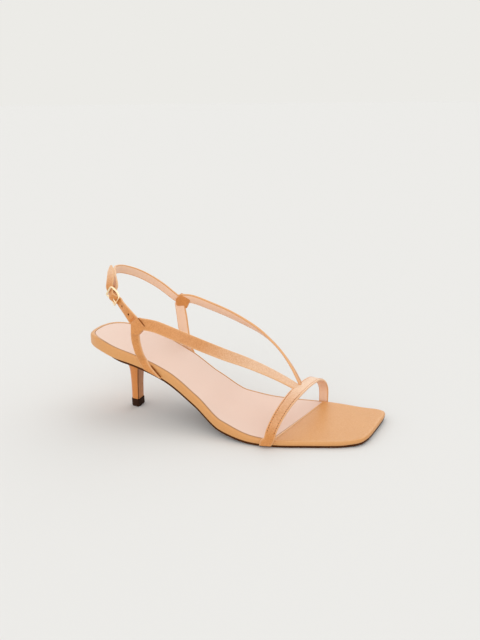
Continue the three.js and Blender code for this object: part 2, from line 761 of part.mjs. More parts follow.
/** The back strap, from the fold round the bar to the medial patch. */
function backStrap(extra) {
  const turn = [60, 110, 160, 210, 250].map((degrees) => {
    const angle = THREE.MathUtils.degToRad(degrees);
    const rear = FOLD_RADIUS * Math.cos(angle);
    const outward = FOLD_RADIUS * Math.sin(angle) - BAR_DROP;
    return [rear, outward, Math.sin(angle), Math.cos(angle)];
  });
  const fold = buckleStations(turn, SLING_WIDTH, FOLD_THICKNESS + 2 * extra);
  const away = buckleStations(
    [
      [0.42 * FRAME_END, 0.6 * BENEATH - 0.4 * (FOLD_RADIUS + BAR_DROP), 1, 0],
      [FRAME_END, BENEATH - 0.35, 1, 0],
      [1.75 * FRAME_END, BENEATH - 0.2, 1, 0],
    ],
    SLING_WIDTH,
    SLING_THICKNESS + 2 * extra,
  );
  away[0].thickness = FOLD_THICKNESS + 2 * extra;
  const rest = SLING.map((row) => station(row, SLING_WIDTH + 2 * extra, SLING_THICKNESS + 2 * extra));
  return band([...flip(fold), ...away, ...rest], 3);
}

/** Turns the outer side of folded stations towards the leather's outer face. */
function flip(stations) {
  return stations.map((place) => ({ ...place, outer: place.outer.clone().negate() }));
}

/** Toe strap, instep straps, side straps, patches and hole strap joined in one piece. */
function makeUpper(...cutters) {
  const strap = (rows, width) => rows.map((row) => station(row, width, STRAP_THICKNESS));
  const toeLateral = wallStations(-1, 0.685, 0.702, STRAP_WIDTH, STRAP_THICKNESS);
  const toeMedial = wallStations(1, 0.782, 0.781, 0.82 * STRAP_WIDTH, STRAP_THICKNESS).reverse();
  const sideLateral = wallStations(-1, 0.302, 0.265, SIDE_WIDTH, STRAP_THICKNESS);
  const sideMedial = wallStations(1, 0.324, 0.307, SIDE_WIDTH, STRAP_THICKNESS);
  const pieces = [
    band([...toeLateral, ...strap(TOE_STRAP, STRAP_WIDTH), ...toeMedial], 2),
    band(strap(LATERAL_INSTEP, STRAP_WIDTH), 2),
    band(strap(MEDIAL_INSTEP, STRAP_WIDTH), 2),
    band([...sideLateral, ...strap(LATERAL_SIDE, SIDE_WIDTH)], 3),
    band([...sideMedial, ...strap(MEDIAL_SIDE, SIDE_WIDTH)], 3),
    patch(LATERAL_PATCH, -1),
    patch(MEDIAL_PATCH, 1),
    holeStrap(),
  ];
  let solid = toSolid(pieces[0]);
  for (const piece of pieces.slice(1)) solid = solid.add(toSolid(piece));
  solid = solid.subtract(toSolid(backStrap(CLEARANCE)));
  solid = solid.subtract(toSolid(prong(CLEARANCE)));
  for (const cutter of cutters) solid = solid.subtract(toSolid(cutter));
  return solid;
}

function makePart(name, shape, color, roughness, metalness) {
  const geometry = shape.getMesh ? toGeometry(shape) : shape;
  const material = new THREE.MeshStandardMaterial({ color, roughness, metalness });
  const mesh = new THREE.Mesh(geometry, material);
  mesh.name = name;
  return mesh;
}

/** Builds every piece and moves the origin under the middle of the shoe. */
function build() {
  const outsoleInset = (x) => OUTSOLE_INSET * (1 + 3 * Math.max(0, 1 - x / (0.15 * SHOE_LENGTH)));
  const outsole = soleLayer({
    inset: outsoleInset,
    top: outsoleTop,
    bottom: tread,
    topRound: OUTSOLE_THICKNESS / 4,
    bottomRound: OUTSOLE_THICKNESS / 3,
  });
  const bed = soleLayer({
    inset: () => 0,
    top: bedTop,
    bottom: bedUnderside,
    topRound: RIM_ROUNDING,
    bottomRound: RIM_ROUNDING / 2,
  });
  const aroundBed = soleLayer({
    inset: () => -CLEARANCE,
    top: (x, y) => bedTop(x, y) + CLEARANCE * steepness(x),
    bottom: (x) => tread(x),
    topRound: RIM_ROUNDING,
    bottomRound: RIM_ROUNDING / 2,
  });
  const underBed = soleLayer({
    inset: () => -STRAP_WIDTH,
    top: bedUnderside,
    bottom: (x) => bedUnderside(x) - 2 * STRAP_WIDTH,
    topRound: CLEARANCE,
    bottomRound: CLEARANCE,
  });
  const below = (depth) => (x, y) => bedTop(x, y) - depth * steepness(x);
  const liningLayer = soleLayer({
    inset: () => LINING_INSET,
    top: below(LINING_SINK),
    bottom: below(LINING_SINK + LINING_THICKNESS),
    topRound: LINING_THICKNESS / 3,
    bottomRound: LINING_THICKNESS / 6,
  });
  const recess = soleLayer({
    inset: () => LINING_INSET - CLEARANCE,
    top: below(-HEEL_RISE),
    bottom: below(LINING_SINK + LINING_THICKNESS + CLEARANCE),
    topRound: CLEARANCE / 2,
    bottomRound: CLEARANCE / 2,
  });
  const footbed = toSolid(bed).subtract(toSolid(recess).intersect(toSolid(behindSeam(CLEARANCE))));
  const lining = toSolid(liningLayer).intersect(toSolid(behindSeam(0)));
  const sling = toSolid(backStrap(0)).subtract(toSolid(prong(CLEARANCE)));

  const shoe = new THREE.Group();
  shoe.name = "slingback_sandal";
  shoe.add(
    makePart("outsole", outsole, 0x3a2a20, 0.7, 0),
    makePart("footbed", footbed, 0xd79f5e, 0.5, 0),
    makePart("sock_lining", lining, 0xf2d8cb, 0.7, 0),
    makePart("heel", makeHeel(), 0xd79f5e, 0.45, 0),
    makePart("heel_tip", makeHeelTip(), 0x37271f, 0.6, 0),
    makePart("upper", makeUpper(aroundBed, underBed), 0xd79f5e, 0.5, 0),
    makePart("back_strap", sling, 0xd79f5e, 0.5, 0),
    makePart("buckle_frame", makeBuckleFrame(), 0xe0bd72, 0.2, 1),
    makePart("buckle_prong", prong(0), 0xe0bd72, 0.2, 1),
  );
  const box = new THREE.Box3().setFromObject(shoe);
  const centre = box.getCenter(new THREE.Vector3());
  for (const mesh of shoe.children) mesh.geometry.translate(-centre.x, -centre.y, -box.min.z);
  return shoe;
}

export default build();
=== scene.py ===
"""Dresses the slingback sandal: leather, lining, stitches, buckle, studio and camera.

Sizes in the classes are millimetres in the shoe's own measures: x from the back of the seat
to the toe, y to the inner side of the foot, z up. Meshes are in metres in the row frame.
"""

import logging
import math
from collections.abc import Callable, Iterable, Sequence
from dataclasses import dataclass, field
from enum import Enum

import bmesh
import bpy
import numpy as np
from mathutils import Matrix, Vector

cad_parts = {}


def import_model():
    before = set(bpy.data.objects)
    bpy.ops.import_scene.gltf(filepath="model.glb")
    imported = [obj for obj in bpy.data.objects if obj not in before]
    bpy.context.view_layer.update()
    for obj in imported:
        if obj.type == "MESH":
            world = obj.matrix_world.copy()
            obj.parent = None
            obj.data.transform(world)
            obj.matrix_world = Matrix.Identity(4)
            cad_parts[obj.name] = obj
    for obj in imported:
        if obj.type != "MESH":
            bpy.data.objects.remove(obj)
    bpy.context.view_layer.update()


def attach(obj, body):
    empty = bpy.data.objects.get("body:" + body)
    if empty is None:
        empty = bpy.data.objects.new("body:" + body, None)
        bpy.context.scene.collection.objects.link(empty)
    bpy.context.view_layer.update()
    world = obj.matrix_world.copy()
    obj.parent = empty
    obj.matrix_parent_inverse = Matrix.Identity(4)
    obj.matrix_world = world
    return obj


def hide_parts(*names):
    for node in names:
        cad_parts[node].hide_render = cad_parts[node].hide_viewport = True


log = logging.getLogger("sandal")

MM = 0.001
# the row frame's origin, in the shoe's own measures
ROW_ORIGIN = np.array([118.94, -2.449, 0.0])
# degrees between two faces from which their edge stays sharp
CREASE_ANGLE = 38.0
# millimetres under which a piece's points are joined
SOLE_WELD = 0.01
STRAP_WELD = 0.0005
FINE_WELD = 0.0001

Point = np.ndarray
Triple = tuple[float, float, float]
Colour = Triple
Rows = list[tuple[float, ...]]
Rings = list[list[int]]
Frame = tuple[Point, Point, Point, Point, float, float]
Surface = Callable[[float, float], float]
Inset = Callable[[float], float]


class Side(Enum):
    """The two long sides of a foot, with the sign of their y."""

    LATERAL = -1
    MEDIAL = 1


class Skin(Enum):
    """What a face of a strap is covered with: its material slot number."""

    OUTSIDE = 0
    INSIDE = 1


# --------------------------------------------------------------------------- curves and meshes


def unit(vector: Point) -> Point:
    """Returns the vector at length one."""
    return vector / max(float(np.linalg.norm(vector)), 1e-12)


def lerp(a: Point | float, b: Point | float, share: float) -> Point | float:
    """Returns the value a share of the way from a to b."""
    return a + (b - a) * share


def heading(facing: float, tilt: float) -> Point:
    """Finds the direction that looks along a plan heading and up by a tilt.

    Args:
        facing: the heading, in degrees.
        tilt: the tilt, in degrees.

    Returns:
        The direction.
    """
    plan, lift = math.radians(facing), math.radians(tilt)
    level = math.cos(lift)
    return np.array([level * math.cos(plan), level * math.sin(plan), math.sin(lift)])


def circle(count: int) -> list[tuple[float, float]]:
    """Returns the cosine and sine of evenly spaced angles round a circle."""
    angles = [2 * math.pi * k / count for k in range(count)]
    return [(math.cos(angle), math.sin(angle)) for angle in angles]


class Path:
    """A smooth curve through points, which bends little between uneven ones."""

    def __init__(self, points: Sequence[Point], closed: bool = False) -> None:
        """Keeps the points.

        Args:
            points: the points that the curve passes through.
            closed: whether the curve runs on from the last point to the first.
        """
        self.points = [np.asarray(p, float) for p in points]
        self.closed = closed

    def at(self, place: float) -> Point:
        """Finds a point of the curve.

        Args:
            place: stretches from the first point, such as 1.5 for half way along the second.

        Returns:
            The point.
        """
        pts, n = self.points, len(self.points)
        k = math.floor(place)
        w = place - k
        if not self.closed:
            k = min(max(k, 0), n - 2)
            w = place - k
        p1, p2 = pts[k % n], pts[(k + 1) % n]
        p0 = pts[(k - 1) % n] if self.closed or k > 0 else 2 * pts[0] - pts[1]
        p3 = pts[(k + 2) % n] if self.closed or k + 2 < n else 2 * pts[-1] - pts[-2]
        d0 = math.sqrt(np.linalg.norm(p1 - p0)) or 1.0
        d1 = math.sqrt(np.linalg.norm(p2 - p1)) or 1.0
        d2 = math.sqrt(np.linalg.norm(p3 - p2)) or 1.0
        t1 = ((p1 - p0) / d0 - (p2 - p0) / (d0 + d1) + (p2 - p1) / d1) * d1
        t2 = ((p2 - p1) / d1 - (p3 - p1) / (d1 + d2) + (p3 - p2) / d2) * d1
        c2 = -3 * p1 + 3 * p2 - 2 * t1 - t2
        c3 = 2 * p1 - 2 * p2 + t1 + t2
        return p1 + t1 * w + c2 * w * w + c3 * w * w * w


class Draft:
    """A mesh in the making: points in shoe measures, faces with a skin, and an edge mask."""

    def __init__(self) -> None:
        """Starts an empty mesh."""
        self.points: list[Point] = []
        self.edge: list[float] = []
        self.painted_highlight: list[float] = []
        self.faces: list[tuple[int, ...]] = []
        self.skins: list[int] = []

    def add(
        self, points: Iterable[Point], edge: float | Sequence[float] = 0.0, painted_highlight: float = 0.0
    ) -> list[int]:
        """Adds points.

        Args:
            points: the points, in shoe measures.
            edge: how much of an edge each point is, from 0 to 1, or of a hollow, down to -1; the
                materials paint highlights, shade lines and the heel's dark seams with it.
            painted_highlight: how much painted highlight the leather gets there, from 0 to 1.

        Returns:
            The numbers of the new points.
        """
        first = len(self.points)
        new = [np.asarray(p, float) for p in points]
        self.points.extend(new)
        self.edge.extend([edge] * len(new) if isinstance(edge, (int, float)) else edge)
        self.painted_highlight.extend([painted_highlight] * len(new))
        return list(range(first, first + len(new)))

    def face(self, corners: Sequence[int], skin: Skin = Skin.OUTSIDE) -> None:
        """Adds one face, without repeated corners.

        Args:
            corners: the numbers of its points.
            skin: what it is covered with.
        """
        kept = [c for i, c in enumerate(corners) if c != corners[i - 1]]
        if len(set(kept)) > 2:
            self.faces.append(tuple(kept))
            self.skins.append(skin.value)

    def bridge(
        self,
        low: Sequence[int],
        high: Sequence[int],
        closed: bool,
        skins: Sequence[Skin] | None = None,
    ) -> None:
        """Joins two rows of points with quads.

        Args:
            low: the first row.
            high: the second row, with as many points.
            closed: whether the rows are rings.
            skins: the skin of each quad along the rows.
        """
        count = len(low) if closed else len(low) - 1
        for i in range(count):
            j = (i + 1) % len(low)
            skin = skins[i] if skins else Skin.OUTSIDE
            self.face((low[i], low[j], high[j], high[i]), skin)

    def sheet(self, rows: Sequence[Sequence[int]]) -> None:
        """Fills a grid of points with quads."""
        for low, high in zip(rows, rows[1:]):
            self.bridge(low, high, False)

    def loft(
        self, rings: Sequence[Sequence[int]], skins: Sequence[Skin] | None = None, ends: bool = True
    ) -> None:
        """Joins closed rings one after another.

        Args:
            rings: the rings, each with as many points.
            skins: the skin of each quad round a ring.
            ends: whether the first and the last ring are closed with a face.
        """
        for one, two in zip(rings, rings[1:]):
            self.bridge(one, two, True, skins)
        if ends:
            self.face(rings[0])
            self.face(rings[-1])

    def build(self, name: str, weld: float = 0.002) -> bpy.types.Object:
        """Makes the Blender object, closed and facing out.

        Args:
            name: the piece's name.
            weld: distance in millimetres under which points are joined.

        Returns:
            The object, linked to the scene.
        """
        mesh = bpy.data.meshes.new(name)
        places = [tuple((p - ROW_ORIGIN) * MM) for p in self.points]
        mesh.from_pydata(places, [], self.faces)
        for key, values in (("edge", self.edge), ("painted_highlight", self.painted_highlight)):
            mesh.attributes.new(key, "FLOAT", "POINT").data.foreach_set("value", values)
        mesh.polygons.foreach_set("material_index", self.skins)
        work = bmesh.new()
        work.from_mesh(mesh)
        bmesh.ops.remove_doubles(work, verts=work.verts, dist=weld * MM)
        bmesh.ops.dissolve_degenerate(work, edges=work.edges, dist=1e-7)
        bmesh.ops.recalc_face_normals(work, faces=work.faces)
        work.to_mesh(mesh)
        work.free()
        obj = add_object(name, mesh)
        smooth(obj)
        return obj


def add_object(name: str, data: bpy.types.ID) -> bpy.types.Object:
    """Adds an object to the scene.

    Args:
        name: the object's name.
        data: its mesh, light or camera.

    Returns:
        The object.
    """
    obj = bpy.data.objects.new(name, data)
    bpy.context.scene.collection.objects.link(obj)
    return obj


def smooth(obj: bpy.types.Object) -> None:
    """Shades a piece smooth, with its sharper creases kept.

    Args:
        obj: the piece.
    """
    obj.data.polygons.foreach_set("use_smooth", [True] * len(obj.data.polygons))
    obj.data.set_sharp_from_angle(angle=math.radians(CREASE_ANGLE))
    obj.data.update()


def cover(obj: bpy.types.Object, finishes: Sequence[bpy.types.Material]) -> None:
    """Gives a piece its materials, in the order of the skins."""
    for finish in finishes:
        obj.data.materials.append(finish)


def settle(
    obj: bpy.types.Object, slot: str, finishes: Sequence[bpy.types.Material], *nodes: str
) -> bpy.types.Object:
    """Dresses a finished piece and ties it to the shoe's body.

    Args:
        obj: the piece.
        slot: the record's material slot; not used.
        finishes: its materials, in the order of the skins.
        nodes: CAD nodes that it stands for.

    Returns:
        The piece.
    """
    if not obj.data.materials:
        cover(obj, finishes)
    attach(obj, "root")
    if nodes:
        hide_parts(*nodes)
    log.info("%s: %d faces", obj.name, len(obj.data.polygons))
    return obj


def apply_modifiers(obj: bpy.types.Object) -> None:
    """Applies all modifiers of an object to its mesh.

    Args:
        obj: the object.
    """
    graph = bpy.context.evaluated_depsgraph_get()
    graph.update()
    mesh = bpy.data.meshes.new_from_object(obj.evaluated_get(graph))
    obj.modifiers.clear()
    obj.data = mesh


def trim(obj: bpy.types.Object, point: Point, normal: Point) -> bpy.types.Object:
    """Cuts off what lies beyond a plane and closes the cut.

    Args:
        obj: the piece.
        point: a point of the plane, in shoe measures.
        normal: the plane's direction, towards what is cut off.

    Returns:
        The piece.
    """
    work = bmesh.new()
    work.from_mesh(obj.data)
    parts = [*work.verts, *work.edges, *work.faces]
    place = Vector((point - ROW_ORIGIN) * MM)
    plane = {"plane_co": place, "plane_no": Vector(normal)}
    cut = bmesh.ops.bisect_plane(work, geom=parts, clear_outer=True, **plane)
    edges = [part for part in cut["geom_cut"] if isinstance(part, bmesh.types.BMEdge)]
    bmesh.ops.holes_fill(work, edges=edges, sides=0)
    bmesh.ops.recalc_face_normals(work, faces=work.faces)
    work.to_mesh(obj.data)
    work.free()
    smooth(obj)
    return obj


# --------------------------------------------------------------------------- materials


class Value:
    """A number or colour in a material: a socket or a plain number, with arithmetic."""

    def __init__(self, recipe: "Recipe", source: bpy.types.NodeSocket | float) -> None:
        """Keeps the material that the value belongs to and where it comes from."""
        self.recipe = recipe
        self.source = source

    def _maths(self, operation: str, first: object, second: object) -> "Value":
        """Returns the result of a Math node."""
        settings = {"operation": operation}
        return self.recipe.node("ShaderNodeMath", settings, {0: first, 1: second})

    def __add__(self, other: object) -> "Value":
        """Returns self + other."""
        return self._maths("ADD", self, other)

    def __radd__(self, other: object) -> "Value":
        """Returns other + self."""
        return self._maths("ADD", other, self)

    def __sub__(self, other: object) -> "Value":
        """Returns self - other."""
        return self._maths("SUBTRACT", self, other)

    def __rsub__(self, other: object) -> "Value":
        """Returns other - self."""
        return self._maths("SUBTRACT", other, self)

    def __mul__(self, other: object) -> "Value":
        """Returns self * other."""
        return self._maths("MULTIPLY", self, other)

    def __rmul__(self, other: object) -> "Value":
        """Returns other * self."""
        return self._maths("MULTIPLY", other, self)


class Recipe:
    """A material in the making."""

    def __init__(self, name: str) -> None:
        """Makes an empty material with its shader and output.

        Args:
            name: the material's name.
        """
        self.material = bpy.data.materials.new(name)
        self.material.use_nodes = True
        self.tree = self.material.node_tree
        self.tree.nodes.clear()
        self.shader = self.tree.nodes.new("ShaderNodeBsdfPrincipled")
        output = self.tree.nodes.new("ShaderNodeOutputMaterial")
        self.tree.links.new(self.shader.outputs[0], output.inputs[0])

    def feed(self, socket: bpy.types.NodeSocket, value: object) -> None:
        """Links a value to a socket, or sets a plain number or colour on it.

        Args:
            socket: the socket.
            value: a value, another socket, a number or a colour.
        """
        if isinstance(value, Value):
            value = value.source
        if isinstance(value, bpy.types.NodeSocket):
            self.tree.links.new(value, socket)
        elif isinstance(value, (tuple, list)) and len(value) == 3 and socket.type == "RGBA":
            socket.default_value = (*value, 1.0)
        else:
            socket.default_value = value

    def node(
        self,
        kind: str,
        settings: dict[str, object],
        inputs: dict[int | str, object],
        output: int | str = 0,
    ) -> Value:
        """Makes any node.

        Args:
            kind: the node's type.
            settings: its own settings, set first. A ramp's stops are given as "stops".
            inputs: socket name or number to a value, a colour or a number.
            output: which output is returned.

        Returns:
            The output.
        """
        made = self.tree.nodes.new(kind)
        for key, setting in settings.items():
            if key == "stops":
                self._set_stops(made.color_ramp, setting)
            else:
                setattr(made, key, setting)
        for key, value in inputs.items():
            self.feed(made.inputs[key], value)
        return Value(self, made.outputs[output])

    @staticmethod
    def _set_stops(ramp: bpy.types.ColorRamp, stops: Sequence[tuple[float, float]]) -> None:
        """Sets the grey stops of a ramp.

        Args:
            ramp: the ramp.
            stops: pairs of place and brightness.
        """
        while len(ramp.elements) < len(stops):
            ramp.elements.new(0.5)
        for element, (place, level) in zip(ramp.elements, stops):
            element.position = place
            element.color = (level, level, level, 1.0)

    def place(self) -> Value:
        """Returns the place on the object, in metres."""
        return self.node("ShaderNodeTexCoord", {}, {}, "Object")

    def mask(self, name: str) -> Value:
        """Returns a mask stored on the mesh."""
        return self.node("ShaderNodeAttribute", {"attribute_name": name}, {}, "Fac")

    def noise(self, scale: float, detail: float = 4.0, stretch: Triple | None = None) -> Value:
        """Makes soft noise.

        Args:
            scale: patches per metre.
            detail: how many finer layers it has.
            stretch: how much the pattern is squeezed along each axis.

        Returns:
            A number around 0.5.
        """
        where = self.place()
        if stretch:
            settings = {"operation": "MULTIPLY"}
            where = self.node("ShaderNodeVectorMath", settings, {0: where, 1: stretch})
        inputs = {"Vector": where, "Scale": scale, "Detail": detail}
        return self.node("ShaderNodeTexNoise", {}, inputs)

    def cells(self, scale: float) -> Value:
        """Returns the distance from the middle of a cell, with this many cells per metre."""
        inputs = {"Vector": self.place(), "Scale": scale}
        return self.node("ShaderNodeTexVoronoi", {"feature": "F1"}, inputs)

    def ramp(self, value: Value, *stops: tuple[float, float]) -> Value:
        """Returns a value bent by a ramp with these stops."""
        return self.node("ShaderNodeValToRGB", {"stops": stops}, {"Fac": value})

    def blend(self, share: object, first: object, second: object) -> Value:
        """Returns a colour a share of the way from the first to the second."""
        settings = {"data_type": "RGBA"}
        return self.node("ShaderNodeMix", settings, {0: share, 6: first, 7: second}, 2)

    def bump(
        self, height: Value, depth: float, strength: float, under: Value | None = None
    ) -> Value:
        """Roughens a surface.

        Args:
            height: the pattern.
            depth: its depth in metres.
            strength: how strongly it shows.
            under: the normal that it lies on.

        Returns:
            The new normal.
        """
        inputs = {"Height": height, "Distance": depth, "Strength": strength}
        if under is not None:
            inputs["Normal"] = under
        return self.node("ShaderNodeBump", {}, inputs)

    def finish(self, **sockets: object) -> bpy.types.Material:
        """Sets the shader's sockets.

        Args:
            sockets: the sockets by name, with _ for a space.

        Returns:
            The material.
        """
        for name, value in sockets.items():
            self.feed(self.shader.inputs[name.replace("_", " ")], value)
        return self.material


@dataclass(frozen=True)
class Leather:
    """Dyed smooth leather with a fine grain, painted highlights along its edges and bends, and
    painted shade in its grooves.
    """

    name: str
    colour: Colour
    deep: Colour
    edge: Colour
    roughness: float = 0.36
    grain: float = 1150.0
    depth: float = 0.00016
    sheen: float = 0.25
    mottled: float = 0.3
    # colours of the painted highlight and of the painted shade in grooves
    painted_highlight: Colour = (0.86, 0.62, 0.44)
    groove_shade: Colour = (0.16, 0.06, 0.02)

    def make(self) -> bpy.types.Material:
        """Makes the material.

        Returns:
            The material.
        """
        r = Recipe(self.name)
        patches = r.ramp(r.noise(30.0, 3.0), (0.32, 0.0), (0.7, 1.0))
        mottle = r.ramp(r.noise(950.0, 2.0), (0.36, 0.0), (0.64, 1.0))
        pores = r.cells(self.grain)
        # painted highlight where a strap bends towards the light, read from the mesh's mask; it
        # also calms the mottle there
        painted_highlight = r.mask("painted_highlight")
        colour = r.blend(painted_highlight, self.colour, self.painted_highlight)
        uneven = (patches * 0.3 + mottle * self.mottled) * (1.0 - painted_highlight * 0.55)
        colour = r.blend(uneven, colour, self.deep)
        colour = r.blend(r.ramp(pores, (0.0, 1.0), (0.35, 0.0)) * 0.35, colour, self.deep)
        # the edge mask paints the edge colour on rolled edges and rims, a painted highlight for the
        # straps and the footbed and a dark seam line for the heel, and, below zero, painted shade
        # in grooves
        rim = r.mask("edge")
        colour = r.blend(rim * 0.6, colour, self.edge)
        colour = r.blend(rim * -0.85, colour, self.groove_shade)
        creases = r.noise(620.0, 6.0, (1.0, 1.0, 0.6))
        gloss = self.roughness + (mottle - 0.5) * 0.12 + pores * 0.08
        normal = r.bump(pores, self.depth, 0.5)
        normal = r.bump(creases, self.depth * 1.6, 0.3, normal)
        coat = {"Coat_Weight": self.sheen, "Coat_Roughness": 0.3}
        return r.finish(Base_Color=colour, Roughness=gloss, Normal=normal, IOR=1.45, **coat)


@dataclass(frozen=True)
class Lining:
    """Thin matte lining leather with painted shade that warms and darkens it towards the toe strap.
    """

    name: str
    colour: Colour
    warm: Colour
    edge: Colour
    # how strong the painted shade towards the toe strap is
    wear_and_shade: float = 0.5

    def make(self) -> bpy.types.Material:
        """Makes the material.

        Returns:
            The material.
        """
        r = Recipe(self.name)
        along = r.node("ShaderNodeSeparateXYZ", {}, {0: r.place()}, 0)
        # painted shade by place along the shoe, patchy and strongest near the toe strap
        tread = r.ramp((along + 0.03) * 9.0, (0.0, 0.0), (0.75, 1.0), (1.0, 0.7))
        cloud = r.noise(34.0, 3.0)
        colour = r.blend(tread * self.wear_and_shade * (0.6 + cloud * 0.7), self.colour, self.warm)
        colour = r.blend(r.noise(900.0, 3.0) * 0.16, colour, self.warm)
        # the edge mask paints a line: shade along the sock lining's sunk border, a highlight on the
        # strap linings
        colour = r.blend(r.mask("edge"), colour, self.edge)
        pores = r.cells(2600.0)
        normal = r.bump(pores, 0.00006, 0.3)
        normal = r.bump(r.noise(300.0, 5.0), 0.00012, 0.18, normal)
        return r.finish(Base_Color=colour, Roughness=0.5 + cloud * 0.1, Normal=normal, IOR=1.42)


@dataclass(frozen=True)
class SoleRubber:
    """Dark sole sheet with faint scuffs and a fine pebble."""

    name: str
    colour: Colour
    scuffed: Colour

    def make(self) -> bpy.types.Material:
        """Makes the material.

        Returns:
            The material.
        """
        r = Recipe(self.name)
        scuffs = r.ramp(r.noise(120.0, 8.0, (0.35, 1.0, 1.0)), (0.52, 0.0), (0.72, 1.0))
        colour = r.blend(scuffs * 0.35, self.colour, self.scuffed)
        pebble = r.cells(1100.0)
        normal = r.bump(pebble, 0.0001, 0.3)
        return r.finish(Base_Color=colour, Roughness=0.7 + scuffs * 0.2, Normal=normal, IOR=1.18)


@dataclass(frozen=True)
class PlatedMetal:
    """Polished plated metal with hairline rubbing."""

    name: str
    colour: Colour
    wear_and_shade: Colour
    roughness: float = 0.16

    def make(self) -> bpy.types.Material:
        """Makes the material.

        Returns:
            The material.
        """
        r = Recipe(self.name)
        rub = r.noise(700.0, 6.0, (1.0, 1.0, 0.25))
        colour = r.blend(rub * 0.3, self.colour, self.wear_and_shade)
        normal = r.bump(rub, 0.00003, 0.12)
        gloss = self.roughness + rub * 0.12
        return r.finish(Base_Color=colour, Metallic=1.0, Roughness=gloss, Normal=normal)


@dataclass(frozen=True)
class Thread:
    """Waxed sewing thread with a twist."""

    name: str
    colour: Colour
    deep: Colour

    def make(self) -> bpy.types.Material:
        """Makes the material.

        Returns:
            The material.
        """
        r = Recipe(self.name)
        twist = r.noise(3000.0, 2.0)
        colour = r.blend(twist * 0.7, self.colour, self.deep)
        normal = r.bump(twist, 0.00008, 0.4)
        return r.finish(Base_Color=colour, Roughness=0.6 + twist * 0.1, Normal=normal, IOR=1.2)


@dataclass(frozen=True)
class Backdrop:
    """Pale seamless studio paper."""

    name: str
    colour: Colour

    def make(self) -> bpy.types.Material:
        """Returns the material."""
        return Recipe(self.name).finish(Base_Color=self.colour, Roughness=1.0, IOR=1.0)


# edge colours: a painted highlight for the straps and the footbed, a dark seam line for the heel;
# the groove colour is painted shade
TAN = Leather(
    "tan_leather", (0.71, 0.305, 0.085), (0.5, 0.175, 0.034), (0.86, 0.52, 0.27), mottled=0.45
)
TAN_BED = Leather(
    "tan_footbed_leather", (0.69, 0.34, 0.118), (0.6, 0.27, 0.085), (0.88, 0.6, 0.38), sheen=0.1
)
TAN_HEEL = Leather(
    "tan_heel_leather", (0.68, 0.25, 0.06), (0.56, 0.19, 0.04), (0.17, 0.055, 0.015), sheen=0.1
)
# edge colours: a dark painted shade line for the sock lining, a lighter painted highlight for the
# strap lining
BLUSH = Lining("blush_lining", (0.8, 0.61, 0.525), (0.785, 0.57, 0.475), (0.5, 0.27, 0.13))
BLUSH_STRAP = Lining(
    "blush_strap_lining", (0.83, 0.58, 0.43), (0.74, 0.47, 0.33), (0.9, 0.62, 0.42), wear_and_shade=0.2
)
SOLE_BROWN = SoleRubber("sole_brown", (0.075, 0.022, 0.005), (0.11, 0.045, 0.018))
TIP_BROWN = SoleRubber("tip_brown", (0.035, 0.013, 0.006), (0.08, 0.04, 0.02))
GOLD = PlatedMetal("pale_gold", (1.0, 0.83, 0.56), (0.92, 0.7, 0.42), 0.24)
TAN_THREAD = Thread("tan_thread", (0.66, 0.21, 0.045), (0.5, 0.14, 0.025))
# dark beads of painted shade: in needle holes and punched holes, and along folded edges
NEEDLE_HOLE_SHADE = Thread("needle_hole_shade", (0.15, 0.045, 0.008), (0.08, 0.022, 0.004))
FOLD_SHADE = Thread("fold_shade", (0.26, 0.075, 0.012), (0.19, 0.05, 0.008))
PAPER = Backdrop("studio_paper", (0.755, 0.757, 0.76))


# --------------------------------------------------------------------------- sole


